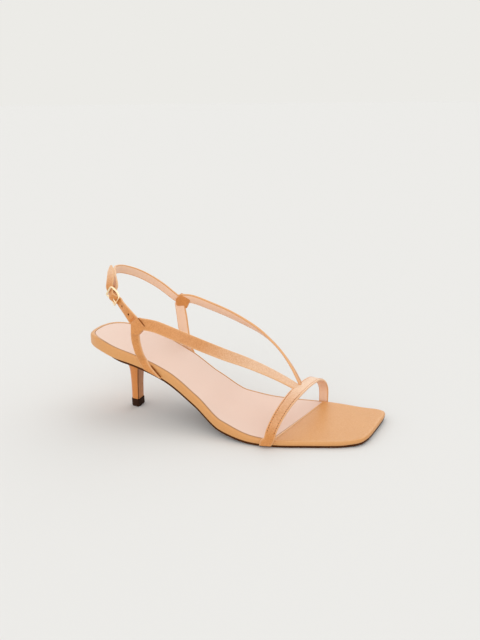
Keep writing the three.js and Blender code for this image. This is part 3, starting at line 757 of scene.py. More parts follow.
@dataclass
class SoleForm:
    """The form of the last's underside that every layer of the sole follows."""

    length: float = 238.0
    ball: float = 83.0
    heel_rise: float = 52.2
    toe_spring: float = 1.8
    seat: float = 8.1
    seat_dish: float = 2.6
    outsole: float = 1.3
    clearance: float = 0.3
    seam_lateral: float = 0.703
    seam_medial: float = 0.783
    back_rows: int = 84
    toe_rows: int = 60
    columns: int = 30
    # along, rise, spring, bed, dish
    profile: Rows = field(
        default_factory=lambda: [
            (-0.01, 0.995, 0, 1.06, 1.6),
            (0.025, 1, 0, 1.04, 1.5),
            (0.063, 0.985, 0, 1.01, 1.3),
            (0.127, 0.922, 0, 0.98, 0.9),
            (0.211, 0.843, 0, 0.88, 0.7),
            (0.316, 0.657, 0, 0.84, 0.45),
            (0.422, 0.36, 0, 0.84, 0.3),
            (0.527, 0.084, 0, 0.84, 0.2),
            (0.633, 0.01, 0, 0.56, 0.15),
            (0.717, 0, 0, 0.41, 0.12),
            (0.768, 0, 0, 0.4, 0.12),
            (0.893, 0, 0, 0.4, 0.1),
            (0.945, 0, 0.4, 0.4, 0.05),
            (1.01, 0, 1.05, 0.4, 0),
        ]
    )
    # along, lateral, medial
    sides: Rows = field(
        default_factory=lambda: [
            (0.025, -0.178, 0.228),
            (0.063, -0.267, 0.303),
            (0.127, -0.335, 0.342),
            (0.211, -0.355, 0.332),
            (0.316, -0.348, 0.3),
            (0.422, -0.39, 0.283),
            (0.527, -0.495, 0.335),
            (0.633, -0.555, 0.428),
            (0.717, -0.53, 0.476),
            (0.802, -0.461, 0.487),
            (0.886, -0.387, 0.466),
            (0.924, -0.341, 0.446),
        ]
    )
    # along, across
    seat_back: Rows = field(default_factory=lambda: [(0.0085, -0.1), (0.001, 0.01), (0.005, 0.13)])
    toe_front: Rows = field(
        default_factory=lambda: [
            (0.957, -0.28),
            (0.974, -0.185),
            (0.985, -0.03),
            (0.993, 0.13),
            (0.9995, 0.28),
            (0.997, 0.37),
            (0.972, 0.42),
        ]
    )

    def __post_init__(self) -> None:
        """Draws the plan outline and its four parts."""
        lateral = [(a, lat) for a, lat, _ in self.sides]
        medial = [(a, med) for a, _, med in reversed(self.sides)]
        shares = lateral + self.toe_front + medial + list(reversed(self.seat_back))
        points = [np.array([a * self.length, b * self.ball, 0.0]) for a, b in shares]
        self.plan = Path(points, closed=True)
        side, toe, end = len(self.sides), len(self.toe_front), float(len(points))
        self.stops = (0.0, side - 1.0, float(side + toe), 2.0 * side + toe - 1.0, end)
        self.parts = self._sample()

    def seam_gap(self, point: Point) -> float:
        """Measures how far a plan point lies in front of the slanted seam.

        Args:
            point: the point.

        Returns:
            Millimetres, below zero behind the seam.
        """
        share = (point[1] + self.ball / 2) / self.ball
        at = self.length * lerp(self.seam_lateral, self.seam_medial, share)
        slant = math.hypot(self.ball, self.length * (self.seam_medial - self.seam_lateral))
        return (point[0] - at) * self.ball / slant

    def _crossing(self, low: float, high: float) -> float:
        """Finds where the seam meets the outline.

        Args:
            low: a place on the outline before it.
            high: a place after it.

        Returns:
            The place.
        """
        sign = self.seam_gap(self.plan.at(low)) < 0
        for _ in range(40):
            middle = (low + high) / 2
            if (self.seam_gap(self.plan.at(middle)) < 0) == sign:
                low = middle
            else:
                high = middle
        return (low + high) / 2

    def _sample(self) -> list[list[Point]]:
        """Cuts the outline into its parts, with rows that meet the seam.

        Returns:
            The lateral, toe, medial and back parts.
        """
        start, toe, medial, back, end = self.stops
        lat_seam = self._crossing(start, toe)
        med_seam = self._crossing(back, medial)
        rear = [i / self.back_rows for i in range(self.back_rows)]
        front = [(i / self.toe_rows) ** 1.9 for i in range(self.toe_rows + 1)]
        lateral = [lerp(start, lat_seam, s) for s in rear] + [lerp(lat_seam, toe, s) for s in front]
        inner = [lerp(back, med_seam, s) for s in rear] + [lerp(med_seam, medial, s) for s in front]
        cross = [i / self.columns for i in range(self.columns + 1)]
        places = [lateral, [lerp(toe, medial, s) for s in cross], list(reversed(inner))]
        places.append([lerp(back, end, s) for s in cross])
        return [[self.plan.at(p) for p in part] for part in places]

    def profile_at(self, column: int, along: float) -> float:
        """Reads the profile smoothly and without overshoot.

        Args:
            column: the column's number.
            along: the share of the length.

        Returns:
            The column's value there.
        """
        rows = self.profile
        last = len(rows) - 1
        k = 0
        while k < last - 1 and along > rows[k + 1][0]:
            k += 1

        def slope(i: int) -> float:
            """Finds the slope at a row, level at a peak.

            Args:
                i: the row's number.

            Returns:
                The slope.
            """
            if i in (0, last):
                return 0.0
            before = (rows[i][column] - rows[i - 1][column]) / (rows[i][0] - rows[i - 1][0])
            after = (rows[i + 1][column] - rows[i][column]) / (rows[i + 1][0] - rows[i][0])
            return 0.0 if before * after <= 0 else 2 * before * after / (before + after)

        gap = rows[k + 1][0] - rows[k][0]
        t = min(1.0, max(0.0, (along - rows[k][0]) / gap))
        a, b = rows[k][column], rows[k + 1][column]
        return (
            a
            + (b - a) * t * t * (3 - 2 * t)
            + t * (1 - t) ** 2 * gap * slope(k)
            + t * t * (t - 1) * gap * slope(k + 1)
        )

    def tread(self, x: float) -> float:
        """Returns the height of the outsole's underside."""
        rise, spring = (self.profile_at(column, x / self.length) for column in (1, 2))
        return self.heel_rise * rise + self.toe_spring * spring

    def steepness(self, x: float) -> float:
        """Returns the upright length of one millimetre measured square to the sole."""
        return math.hypot(1.0, self.tread(x + 0.5) - self.tread(x - 0.5))

    def underside(self, x: float, y: float = 0.0) -> float:
        """Returns the height of the footbed's underside."""
        return self.tread(x) + (self.outsole + self.clearance) * self.steepness(x)

    def top(self, x: float, y: float = 0.0) -> float:
        """Finds the height of the footbed's dished top.

        Args:
            x: distance along the shoe.
            y: distance to the inner side.

        Returns:
            The height.
        """
        along = x / self.length
        thick = self.seat * self.profile_at(3, along)
        dish = self.seat_dish * self.profile_at(4, along) * (2 * y / self.ball) ** 2
        return self.underside(x) + thick * self.steepness(x) + dish

    def inset(self, distance: Inset) -> list[list[Point]]:
        """Moves the outline inwards.

        Args:
            distance: how far, at a place along the shoe.

        Returns:
            The four parts of the moved outline.
        """
        loop = [p for part in self.parts for p in part[:-1]]
        moved = []
        for i, p in enumerate(loop):
            along = unit(loop[(i + 1) % len(loop)] - loop[i - 1])
            gap = distance(float(p[0]))
            moved.append(np.array([p[0] - along[1] * gap, p[1] + along[0] * gap, 0.0]))
        parts, first = [], 0
        for part in self.parts:
            parts.append([moved[(first + i) % len(moved)] for i in range(len(part))])
            first += len(part) - 1
        return parts

    def grid(self, parts: list[list[Point]]) -> list[list[Point]]:
        """Fills an outline with rows of points from the lateral to the medial side.

        The row at the seam is straight, and the rows bend towards the seat's back and the toe.

        Args:
            parts: the outline's four parts.

        Returns:
            The rows.
        """
        lateral, toe, medial = parts[0], parts[1], list(reversed(parts[2]))
        back = list(reversed(parts[3]))
        rows = []
        for i, (left, right) in enumerate(zip(lateral, medial)):
            rear = max(0.0, 1 - i / self.back_rows) ** 2
            fore = max(0.0, (i - self.back_rows) / self.toe_rows) ** 2
            row = []
            for j in range(self.columns + 1):
                v = j / self.columns
                point = lerp(left, right, v)
                point = point + rear * (back[j] - lerp(back[0], back[-1], v))
                row.append(point + fore * (toe[j] - lerp(toe[0], toe[-1], v)))
            rows.append(row)
        return rows

    def lifted(self, point: Point, surface: Surface, shift: float = 0.0) -> Point:
        """Returns a plan point at the height of a surface, moved up by shift square to it."""
        x, y = float(point[0]), float(point[1])
        return np.array([x, y, surface(x, y) + shift * self.steepness(x)])

    def bottom(self, share: float, lift: float) -> tuple[Point, Point]:
        """Finds a plane over the outsole's underside.

        Args:
            share: how far along the shoe.
            lift: how far over the underside.

        Returns:
            A point of the plane and the direction down square to it.
        """
        x = share * self.length
        slope = self.tread(x + 4) - self.tread(x - 4)
        return np.array([x, 0.0, self.tread(x) + lift]), unit(np.array([slope / 8, 0.0, -1.0]))

    def wall(self, side: Side, x: float) -> tuple[Point, Point]:
        """Finds a place on the plan outline of a long side.

        Args:
            side: which side.
            x: distance along the shoe.

        Returns:
            The plan point and the outward direction there.
        """
        points = self.parts[0] if side is Side.LATERAL else list(reversed(self.parts[2]))
        k = 0
        while k < len(points) - 2 and points[k + 1][0] < x:
            k += 1
        share = (x - points[k][0]) / (points[k + 1][0] - points[k][0])
        along = unit(points[k + 1] - points[k])
        outward = np.array([-along[1] * side.value, along[0] * side.value, 0.0])
        return lerp(points[k], points[k + 1], share), outward


@dataclass
class Sole:
    """Outsole sheet, wrapped footbed and sock lining."""

    form: SoleForm
    rim: float = 2.1
    rounding: float = 1.9
    lining_gap: float = 0.2
    lining_depth: float = 0.95
    lining_sink: float = 0.2
    # the toe facing's folded edge: height, width, and the distance, width and depth of its sewn dip
    lip: float = 0.32
    lip_width: float = 0.95
    dip_distance: float = 1.5
    dip_width: float = 0.4
    dip: float = 0.08
    # along, inset
    outsole_inset: Rows = field(
        default_factory=lambda: [
            (0, 6.0),
            (0.07, 5.4),
            (0.1, 4.0),
            (0.13, 2.0),
            (0.165, 0.35),
            (1, 0.35),
        ]
    )
    # along, how much wider the rim is
    rim_extra: Rows = field(default_factory=lambda: [(0, 1.5), (0.05, 0.8), (0.16, 0)])
    # millimetres from the seat's back where the painted shade beside the lining starts and is full
    crease_shade: tuple[float, float] = (12.0, 24.0)
    # edge values of the painted shade on four rings, from the rounding to the bed
    crease_shade_levels: tuple[float, ...] = (0.0, -0.5, -0.85, -0.6)

    def _drawn(self, table: Rows, extra: float) -> Inset:
        """Returns an inset that follows a table along the shoe, with an extra."""
        return lambda x: extra + float(np.interp(x / self.form.length, *zip(*table)))

    def _bed_inset(self, extra: float) -> Inset:
        """Returns the inset of the lining's bed along the shoe, wider round the seat's back."""
        return self._drawn(self.rim_extra, extra + self.rim)

    def _ring(
        self, draft: Draft, inset: Inset, surface: Surface, shift: float, edge: float
    ) -> list[int]:
        """Adds a ring round the sole and returns its points' numbers."""
        loop = [p for part in self.form.inset(inset) for p in part[:-1]]
        return draft.add([self.form.lifted(p, surface, shift) for p in loop], edge)

    def _cap(
        self, draft: Draft, inset: Inset, surface: Surface, shift: float, rows: slice = slice(None)
    ) -> Rings:
        """Fills the outline with a sheet.

        Args:
            draft: the mesh in the making.
            inset: how far inside the outline it ends.
            surface: the surface that it follows.
            shift: how far over the surface it lies.
            rows: which of the rows are filled.

        Returns:
            Its rows of point numbers.
        """
        grid = self.form.grid(self.form.inset(inset))[rows]
        numbers = [draft.add([self.form.lifted(p, surface, shift) for p in row]) for row in grid]
        draft.sheet(numbers)
        return numbers

    def footbed(self) -> bpy.types.Object:
        """Builds the wrapped footbed with its sunk bed for the lining and raised toe facing.

        Returns:
            The footbed.
        """
        form, draft = self.form, Draft()
        low, top, r = form.underside, form.top, self.rounding
        self._cap(draft, lambda x: 0.6, low, 0.0)
        # the edge values paint a faint highlight near the bottom and along the rounded rim
        # inset, surface, shift from it, edge
        rings = [(0.6, low, 0.0, 0.0), (0.18, low, 0.18, 0.0), (0.0, low, 0.6, 0.1)]
        rings += [(-0.05, low, 1.3, 0.0), (-0.05, top, -r - 0.5, 0.0)]
        for angle in (0, 18, 36, 54, 72, 90):
            a, edge = math.radians(angle), 0.25 if angle > 40 else 0.0
            rings.append((r * (1 - math.cos(a)), top, -r * (1 - math.sin(a)), edge))
        numbers = [self._ring(draft, lambda x, i=inset: i, *rest) for inset, *rest in rings]
        draft.loft(numbers, ends=False)
        outer = numbers[-1]
        # a painted highlight on the rim beside the lining, painted shade at the foot of the sunk
        # bed
        inner = self._ring(draft, self._bed_inset(0.0), top, -0.06, 0.25)
        bed, depth = self._bed_inset(0.03), -self.lining_depth - self.lining_sink
        foot = self._ring(draft, bed, top, depth, -0.3)
        self._paint_crease_shade(draft, [*numbers[-3:], inner])
        s = form.back_rows
        medial_seam = len(form.parts[0]) - 1 + form.columns + form.toe_rows
        rear = [*range(medial_seam, len(outer)), *range(s + 1)]
        for one, two in ((outer, inner), (inner, foot)):
            draft.bridge([one[i] for i in rear], [two[i] for i in rear], False)
        floor = self._cap(draft, bed, top, depth, slice(0, s + 1))
        facing = self._facing(draft, r)
        draft.bridge(facing[0], floor[-1], False)
        for at in (s, medial_seam):
            draft.face((outer[at], inner[at], foot[at]))
        return draft.build("footbed_cover", SOLE_WELD)

    def _paint_crease_shade(self, draft: Draft, rings: Rings) -> None:
        """Paints shade into the corner that the rim and the lining form along the lateral side.

        Args:
            draft: the mesh in the making.
            rings: its rings from the rounding to the lining's bed.
        """
        start, full = self.crease_shade
        for ring, dark in zip(rings, self.crease_shade_levels):
            for k in ring:
                x, y, _ = draft.points[k]
                if self.form.seam_gap(draft.points[k]) < -1.0 and x > start and y < 0.0:
                    draft.edge[k] = dark * min(1.0, (x - start) / (full - start))

    def _facing(self, draft: Draft, inset: float) -> Rings:
        """Adds the toe facing, whose folded edge stands up along the seam.

        Args:
            draft: the mesh in the making.
            inset: how far inside the outline it ends.

        Returns:
            Its rows of point numbers.
        """
        form = self.form
        grid = form.grid(form.inset(lambda x: inset))[form.back_rows :]
        rows = []
        for i, row in enumerate(grid):
            points, edge = [], []
            for j, p in enumerate(row):
                gap = max(0.0, form.seam_gap(p))
                fade = min(1.0, min(j, form.columns - j) / 2)
                lip = math.exp(-((gap / self.lip_width) ** 4))
                seam = math.exp(-(((gap - self.dip_distance) / self.dip_width) ** 2))
                roll = (self.lip * (1 - math.exp(-gap / 0.12)) * lip - self.dip * seam) * fade
                points.append(form.lifted(p, form.top, roll))
                # painted highlight on the raised edge, painted shade in the sewn dip
                edge.append((lip - 0.3 * seam) * fade)
            rows.append(draft.add(points, edge))
        draft.sheet(rows)
        return rows

    def lining(self) -> bpy.types.Object:
        """Builds the sock lining that lies in the footbed up to the seam.

        Returns:
            The lining.
        """
        form, draft = self.form, Draft()
        s = form.back_rows

        def rows(extra: float, shift: float) -> list[list[Point]]:
            """Lays out the lining at one level.

            Args:
                extra: how much further in it ends.
                shift: how far over the footbed's top it lies.

            Returns:
                Its rows of points.
            """
            grid = form.grid(form.inset(self._bed_inset(0.03 + self.lining_gap + extra)))[: s + 1]
            moved = []
            for i, row in enumerate(grid):
                back = np.array([self.lining_gap + extra, 0.0, 0.0]) if i == s else np.zeros(3)
                moved.append([form.lifted(p - back, form.top, shift) for p in row])
            return moved

        def rim(grid: list[list[Point]]) -> list[Point]:
            """Finds the closed border of a grid.

            Args:
                grid: rows of points.

            Returns:
                The border's points in order.
            """
            left = [row[0] for row in grid[:-1]]
            right = [row[-1] for row in reversed(grid[:-1])]
            return left + grid[-1] + right + list(reversed(grid[0]))[1:-1]

        sink, depth = self.lining_sink, self.lining_depth
        levels = [(0.0, -sink - depth + 0.15), (0.0, -sink - 0.25), (0.1, -sink - 0.08)]
        levels += [(0.35, -sink), (0.6, -sink)]
        # the sides of the sunk lining carry a dark painted shade line for the gap by the rim
        edges = (0.75, 0.75, 0.75, 0.75, 0.0)
        numbers = [draft.add(rim(rows(*level)), edge) for level, edge in zip(levels, edges)]
        draft.loft(numbers, ends=False)
        for extra, shift in (levels[0], levels[-1]):
            draft.sheet([draft.add(row) for row in rows(extra, shift)])
        return draft.build("sock_lining_leather", SOLE_WELD)

    def outsole(self) -> bpy.types.Object:
        """Builds the thin sole sheet, which draws in under the back of the seat.

        Returns:
            The outsole.
        """
        draft, thick = Draft(), self.form.outsole
        levels = [(0.4, 0.0), (0.1, 0.12), (0.0, 0.4)]
        levels += [(0.0, thick - 0.3), (0.1, thick - 0.08), (0.3, thick)]

        def low(x: float, y: float) -> float:
            """Returns the underside's height."""
            return self.form.tread(x)

        insets = [self._drawn(self.outsole_inset, extra) for extra, _ in levels]
        shifts = [shift for _, shift in levels]
        rings = [self._ring(draft, inset, low, shift, 0.0) for inset, shift in zip(insets, shifts)]
        draft.loft(rings, ends=False)
        for at in (0, -1):
            self._cap(draft, insets[at], low, shifts[at])
        return draft.build("outsole_sheet", SOLE_WELD)

    def dress(self) -> None:
        """Builds and dresses the sole's three layers."""
        settle(self.outsole(), "outsole", [SOLE_BROWN.make()], "outsole")
        settle(self.footbed(), "footbed_cover", [TAN_BED.make()], "footbed")
        settle(self.lining(), "sock_lining", [BLUSH.make()], "sock_lining")


@dataclass
class Heel:
    """Leather-covered heel and its top piece."""

    form: SoleForm
    width: float = 10.0
    tip_height: float = 6.3
    overhang: float = 0.4
    steps: int = 40
    levels: int = 36
    corner: float = 0.8
    squareness: float = 0.8
    crowding: float = 0.85
    # up, back, front, half, side
    rings: Rows = field(
        default_factory=lambda: [
            (0, 0.141, 0.173, 0.49, -0.012),
            (0.3, 0.141, 0.174, 0.51, -0.012),
            (0.6, 0.138, 0.177, 0.57, -0.01),
            (0.78, 0.128, 0.182, 0.74, -0.006),
            (0.88, 0.108, 0.188, 1.02, -0.003),
            (0.95, 0.075, 0.196, 1.5, 0),
            (1, 0.034, 0.206, 2.05, 0.004),
        ]
    )

    def _row(self, up: float) -> list[float]:
        """Finds the heel's sizes at one level.

        Args:
            up: share of the height.

        Returns:
            Its back, front, half width and side shift there.
        """
        ups = [row[0] for row in self.rings]
        place = float(np.interp(up, ups, range(len(ups))))
        return list(Path([np.array(row[1:]) for row in self.rings]).at(place))

    def _section(self, sizes: Sequence[float], grow: float) -> list[Triple]:
        """Draws the D-shaped section with rounded breast corners.

        Args:
            sizes: back, front, half width and side shift.
            grow: how much larger it is all round.

        Returns:
            Plan points, each with an edge value, which is high at the seams on the two corners.
        """
        back, front, half, side = sizes
        rear, fore = back * self.form.length - grow, front * self.form.length + grow
        wide, middle = half * self.width + grow, side * self.form.ball
        breast, points = fore - self.corner, []
        for i in range(self.steps + 1):
            angle = math.pi * (i / self.steps - 0.5)
            depth = max(0.0, math.cos(angle)) ** self.squareness
            across = math.copysign(abs(math.sin(angle)) ** self.squareness, angle)
            points.append((breast - (breast - rear) * depth, middle - wide * across, 0.0))
        for sign in (-1, 1):
            turn = []
            for degrees in (20, 45, 70, 90):
                a = math.radians(degrees)
                x = breast + self.corner * math.sin(a)
                y = middle + sign * (wide - self.corner + self.corner * math.cos(a))
                seam = 1.7 if degrees == 45 else 1.1 if degrees in (20, 70) else 0.0
                dip = 0.3 * (degrees == 45)
                turn.append((x - dip, y - sign * dip, seam))
            points.extend(turn if sign < 0 else list(reversed(turn)))
        return points

    def cover(self) -> bpy.types.Object:
        """Builds the covered heel.

        Returns:
            The heel.
        """
        form, draft = self.form, Draft()
        foot = self.tip_height + form.clearance
        rings = []
        for level in range(self.levels + 1):
            up = (level / self.levels) ** self.crowding
            section = self._section(self._row(up), 0.0)
            ring = []
            for x, y, _ in section:
                seat = form.tread(x) - form.clearance * form.steepness(x)
                ring.append(np.array([x, y, foot + (seat - foot) * up]))
            rings.append(draft.add(ring, [seam for _, _, seam in section]))
        draft.loft(rings)
        return draft.build("heel_cover", SOLE_WELD)

    def top_piece(self) -> bpy.types.Object:
        """Builds the dark top piece under the heel.

        Returns:
            The top piece.
        """
        draft = Draft()
        rings = []
        levels = ((0.0, -0.35), (0.12, -0.1), (0.4, 0.0), (5.9, 0.0), (6.2, -0.12), (6.3, -0.4))
        for height, grow in levels:
            section = self._section(self._row(0.0), self.overhang + grow)
            rings.append(draft.add([np.array([x, y, height]) for x, y, _ in section]))
        draft.loft(rings)
        return draft.build("heel_top_piece", SOLE_WELD)

    def dress(self) -> None:
        """Builds and dresses the heel and its top piece."""
        settle(self.cover(), "heel_cover", [TAN_HEEL.make()], "heel")
        settle(self.top_piece(), "heel_tip", [TIP_BROWN.make()], "heel_tip")


# --------------------------------------------------------------------------- straps


@dataclass
class Station:
    """One place on a strap: its middle, its outer direction and its size."""

    point: Point
    outer: Point
    width: float
    thickness: float


@dataclass
class Band:
    """A strap swept through stations, with rolled edges, tan outside and lined inside."""

    stations: list[Station]
    steps: int = 8
    crown: float = 0.14
    margin: float = 0.6
    roll: float = 0.62
    # share of the length, painted highlight
    painted_highlights: Rows = field(default_factory=lambda: [(0, 0), (1, 0)])

    def __post_init__(self) -> None:
        """Draws the strap's middle line and measures it."""
        self.path = Path([s.point for s in self.stations])
        self.places = np.linspace(0, len(self.stations) - 1, 400)
        points = np.array([self.path.at(p) for p in self.places])
        steps = np.linalg.norm(np.diff(points, axis=0), axis=1)
        self.lengths = np.concatenate([[0.0], np.cumsum(steps)])

    def measured(self, distance: float) -> Frame:
        """Returns the place and directions at a distance in millimetres along the strap."""
        return self.frame(float(np.interp(distance, self.lengths, self.places)))

    def frame(self, place: float) -> Frame:
        """Finds the strap's place and directions.

        Args:
            place: stations from the start.

        Returns:
            The middle point, along, outer and across directions, and half width and thickness.
        """
        last = len(self.stations) - 1
        place = min(max(place, 0.0), float(last))
        k = min(int(place), last - 1)
        share = place - k
        here, after = self.stations[k], self.stations[k + 1]
        along = unit(self.path.at(min(last, place + 0.01)) - self.path.at(max(0.0, place - 0.01)))
        outer = lerp(here.outer, after.outer, share)
        outer = unit(outer - along * float(outer @ along))
        across = np.cross(along, outer)
        half = lerp(here.width, after.width, share) / 2
        thick = lerp(here.thickness, after.thickness, share) / 2
        return self.path.at(place), along, outer, across, half, thick

    def _section(self, half: float, thick: float) -> list[tuple[float, float, float, Skin]]:
        """Draws the strap's section.

        Args:
            half: half its width.
            thick: half its thickness.

        Returns:
            Its points: across, outward, edge mask, and the next face's skin.
        """
        r = min(self.roll, 0.95 * thick)
        points = []
        # edge values paint a highlight on the rolled edges and at the lining's border
        for share in (1.0, 0.75, 0.5, 0.25, 0.0, -0.25, -0.5, -0.75, -1.0):
            a = share * (half - r)
            edge = 0.35 if abs(share) == 1.0 else 0.0
            points.append((a, thick + self.crown * (1 - share * share), edge, Skin.OUTSIDE))
        for degrees, edge in ((60, 0.8), (30, 1.0), (0, 1.0), (-30, 0.8), (-60, 0.5)):
            t = math.radians(degrees)
            a = -(half - r) - r * math.cos(t)
            b = math.copysign(thick - r, t) + r * math.sin(t) if degrees else 0.0
            points.append((a, b, edge, Skin.OUTSIDE))
        seam = half - self.margin
        points.append((-(half - r), -thick, 0.2, Skin.OUTSIDE))
        points.append((-seam, -thick, 0.0, Skin.OUTSIDE))
        points.append((-seam + 0.12, -thick - 0.06, 0.4, Skin.INSIDE))
        points.append((0.0, -thick - 0.1, 0.0, Skin.INSIDE))
        points.append((seam - 0.12, -thick - 0.06, 0.4, Skin.OUTSIDE))
        points.append((seam, -thick, 0.0, Skin.OUTSIDE))
        points.append((half - r, -thick, 0.2, Skin.OUTSIDE))
        for degrees, edge in ((-60, 0.5), (-30, 0.8), (0, 1.0), (30, 1.0), (60, 0.8)):
            t = math.radians(degrees)
            a = (half - r) + r * math.cos(t)
            b = math.copysign(thick - r, t) + r * math.sin(t) if degrees else 0.0
            points.append((a, b, edge, Skin.OUTSIDE))
        return points

    def build(self, name: str) -> bpy.types.Object:
        """Builds the strap.

        Args:
            name: the piece's name.

        Returns:
            The strap.
        """
        draft = Draft()
        count = (len(self.stations) - 1) * self.steps
        rings = []
        for i in range(count + 1):
            middle, _, outer, across, half, thick = self.frame(i / self.steps)
            section = self._section(half, thick)
            points = [middle + across * a + outer * b for a, b, _, _ in section]
            # painted highlight along the strap, read from its table
            painted_highlight = float(np.interp(i / count, *zip(*self.painted_highlights)))
            rings.append(draft.add(points, [edge for _, _, edge, _ in section], painted_highlight))
        draft.loft(rings, [skin for _, _, _, skin in section])
        return draft.build(name, STRAP_WELD)


@dataclass
class Stitching:
    """Stitches, dark beads of painted shade for the needle holes between them, and painted shade
    lines along folded edges.
    """

    spacing: float = 2.0
    length: float = 1.15
    radius: float = 0.22
    inset: float = 1.3
    # how high a stitch stands, as a share of its radius
    flat: float = 0.7
    # half the length, the radius, and the height as a share of that
    prick: Triple = (0.4, 0.28, 0.3)
    bar: Triple = (1.1, 0.3, 0.8)
    thread: Draft = field(default_factory=Draft)
    # dark beads of painted shade: in needle holes and punched holes, and along folded edges
    holes: Draft = field(default_factory=Draft)
    shade_lines: Draft = field(default_factory=Draft)

    @staticmethod
    def _bead(draft: Draft, middle: Point, along: Point, outer: Point, sizes: Triple) -> None:
        """Adds one rounded bead.

        Args:
            draft: the mesh in the making.
            middle: its middle.
            along: the direction of its length.
            outer: the direction out of the leather.
            sizes: half its length, its radius, and its height as a share of that.
        """
        reach, radius, flat = sizes
        across = np.cross(along, outer)
        rings = []
        for share, size in ((-1, 0.25), (-0.7, 0.85), (0, 1.0), (0.7, 0.85), (1, 0.25)):
            wide, high = radius * size, radius * flat * size
            start = middle + along * (share * reach)
            ring = [start + across * (wide * c) + outer * (high * t) for c, t in circle(7)]
            rings.append(draft.add(ring))
        draft.loft(rings)

    def along(self, band: Band, start: float, stop: float, pricked: float) -> None:
        """Sews a row along each edge of a strap.

        Args:
            band: the strap.
            start: where the rows begin, in millimetres along it.
            stop: where they end.
            pricked: up to where needle holes, as dark beads of painted shade, show between the
                stitches.
        """
        for row in (-1.0, 1.0):
            at = start
            while at + self.spacing < stop:
                for reach, mid in ((self.length / 2, at), (0.0, at + self.spacing / 2)):
                    middle, forward, outer, across, half, thick = band.measured(mid)
                    side = row * (half - self.inset)
                    share = side / max(half - band.roll, 0.1)
                    height = thick + band.crown * (1 - share * share)
                    spot = middle + across * side + outer * height
                    if reach:
                        spot = spot + outer * 0.02
                        sizes = (reach, self.radius, self.flat)
                        self._bead(self.thread, spot, forward, outer, sizes)
                    elif mid < pricked:
                        self._bead(self.holes, spot, forward, outer, self.prick)
                at += self.spacing

    def across(self, band: Band, at: float, reach: float, count: int) -> None:
        """Sews short bars side by side over a strap.

        Args:
            band: the strap.
            at: millimetres along it.
            reach: how far to each side the bars lie.
            count: how many there are.
        """
        middle, forward, outer, across, _, thick = band.measured(at)
        for i in range(count):
            side = reach * (2 * (i + 0.5) / count - 1)
            spot = middle + across * side + outer * (thick + band.crown)
            self._bead(self.thread, spot, forward, outer, self.bar)

    def plug(self, band: Band, at: float, radius: float) -> None:
        """Fills a punched hole, at a distance in millimetres along a strap, with a dark bead of
        painted shade.
        """
        middle, forward, outer, _, _, thick = band.measured(at)
        self._bead(self.holes, middle, forward, outer, (radius, radius, 0.8 * thick / radius))

    def seat(self, band: Band, start: float, stop: float) -> None:
        """Draws a painted shade line where a strap's front edge sinks into the footbed's edge.

        Args:
            band: the strap.
            start: where the line begins, in stations.
            stop: where it ends.
        """
        points, outer = [], np.zeros(3)
        for place in np.linspace(start, stop, 7):
            middle, _, outer, across, half, thick = band.frame(float(place))
            front = across if across[0] > 0 else -across
            points.append(middle + front * (half + 0.3) - outer * (thick - 0.3))
        self.fold(points, outer, 0.55)

    def fold(self, points: Sequence[Point], outer: Point, radius: float) -> None:
        """Draws a thin painted shade line along a folded edge.

        Args:
            points: the edge's points.
            outer: the direction out of the leather.
            radius: half the line's width.
        """
        for one, two in zip(points, points[1:]):
            reach = 1.05 * float(np.linalg.norm(two - one)) / 2
            self._bead(self.shade_lines, (one + two) / 2, unit(two - one), outer, (reach, radius, 0.8))


STRAP_RISE = 51.0
# millimetres along the hole strap
HOLES = (13.2, 23.0)
HOLE_RADIUS = 0.85
# side, name, and the cut under its foot: share of the length, lift over the outsole's underside
SIDE_STRAPS = (
    (Side.LATERAL, "lateral_side_strap", 0.285, 2.4),
    (Side.MEDIAL, "medial_side_strap", 0.324, 1.2),
)
# millimetres left without stitches at both ends of the toe strap, and the share with needle holes
# painted as dark beads of shade
TOE_UNSEWN = 14.0
TOE_PRICKED = 0.42
# share of the length, lift over the outsole's underside
TOE_CUT = (0.73, 1.8)
# stations of the lateral side strap between which a painted shade line runs along its front edge
SEAT_SHADE_LINE = (0.85, 1.95)
# millimetres along the hole strap, reach to each side, count
HOLE_STRAP_BARS = (8.3, 2.7, 4)

# along, across, rise, facing, tilt, wide
LATERAL_INSTEP: Rows = [
    (0.249, -0.434, 0.629, -90, 12, 1),
    (0.308, -0.445, 0.723, -90, 16, 1),
    (0.362, -0.424, 0.761, -88, 20, 1),
    (0.415, -0.387, 0.817, -86, 25, 1),
    (0.469, -0.337, 0.862, -84, 32, 1),
    (0.524, -0.28, 0.905, -82, 40, 1),
    (0.58, -0.218, 0.868, -80, 50, 0.98),
    (0.636, -0.158, 0.793, -76, 59, 0.95),
    (0.692, -0.098, 0.669, -70, 68, 0.92),
    (0.747, -0.04, 0.505, -60, 76, 0.9),
]
MEDIAL_INSTEP: Rows = [
    (0.262, 0.443, 0.662, 90, 22, 1),
    (0.308, 0.42, 0.781, 90, 26, 1),
    (0.382, 0.416, 0.878, 90, 30, 1),
    (0.45, 0.411, 0.976, 90, 33, 1),
    (0.513, 0.393, 1.061, 88, 41, 1),
    (0.568, 0.357, 1.039, 84, 50, 1),
    (0.618, 0.301, 0.971, 80, 58, 1),
    (0.662, 0.227, 0.856, 62, 48, 0.96),
    (0.703, 0.133, 0.716, 55, 50, 0.9),
    (0.744, 0.02, 0.52, 50, 52, 0.86),
]
TOE_STRAP: Rows = [
    (0.701, -0.548, 0.175, -90, 14, 0.9),
    (0.7155, -0.497, 0.35, -82, 32, 0.92),
    (0.7285, -0.355, 0.465, -75, 56, 0.96),
    (0.739, -0.19, 0.518, -50, 74, 1.06),
    (0.75, -0.02, 0.538, 0, 84, 1.04),
    (0.759, 0.15, 0.527, 50, 72, 1),
    (0.765, 0.3, 0.482, 74, 54, 0.98),
    (0.774, 0.42, 0.385, 82, 30, 0.92),
    (0.78, 0.497, 0.22, 90, 10, 0.86),
]
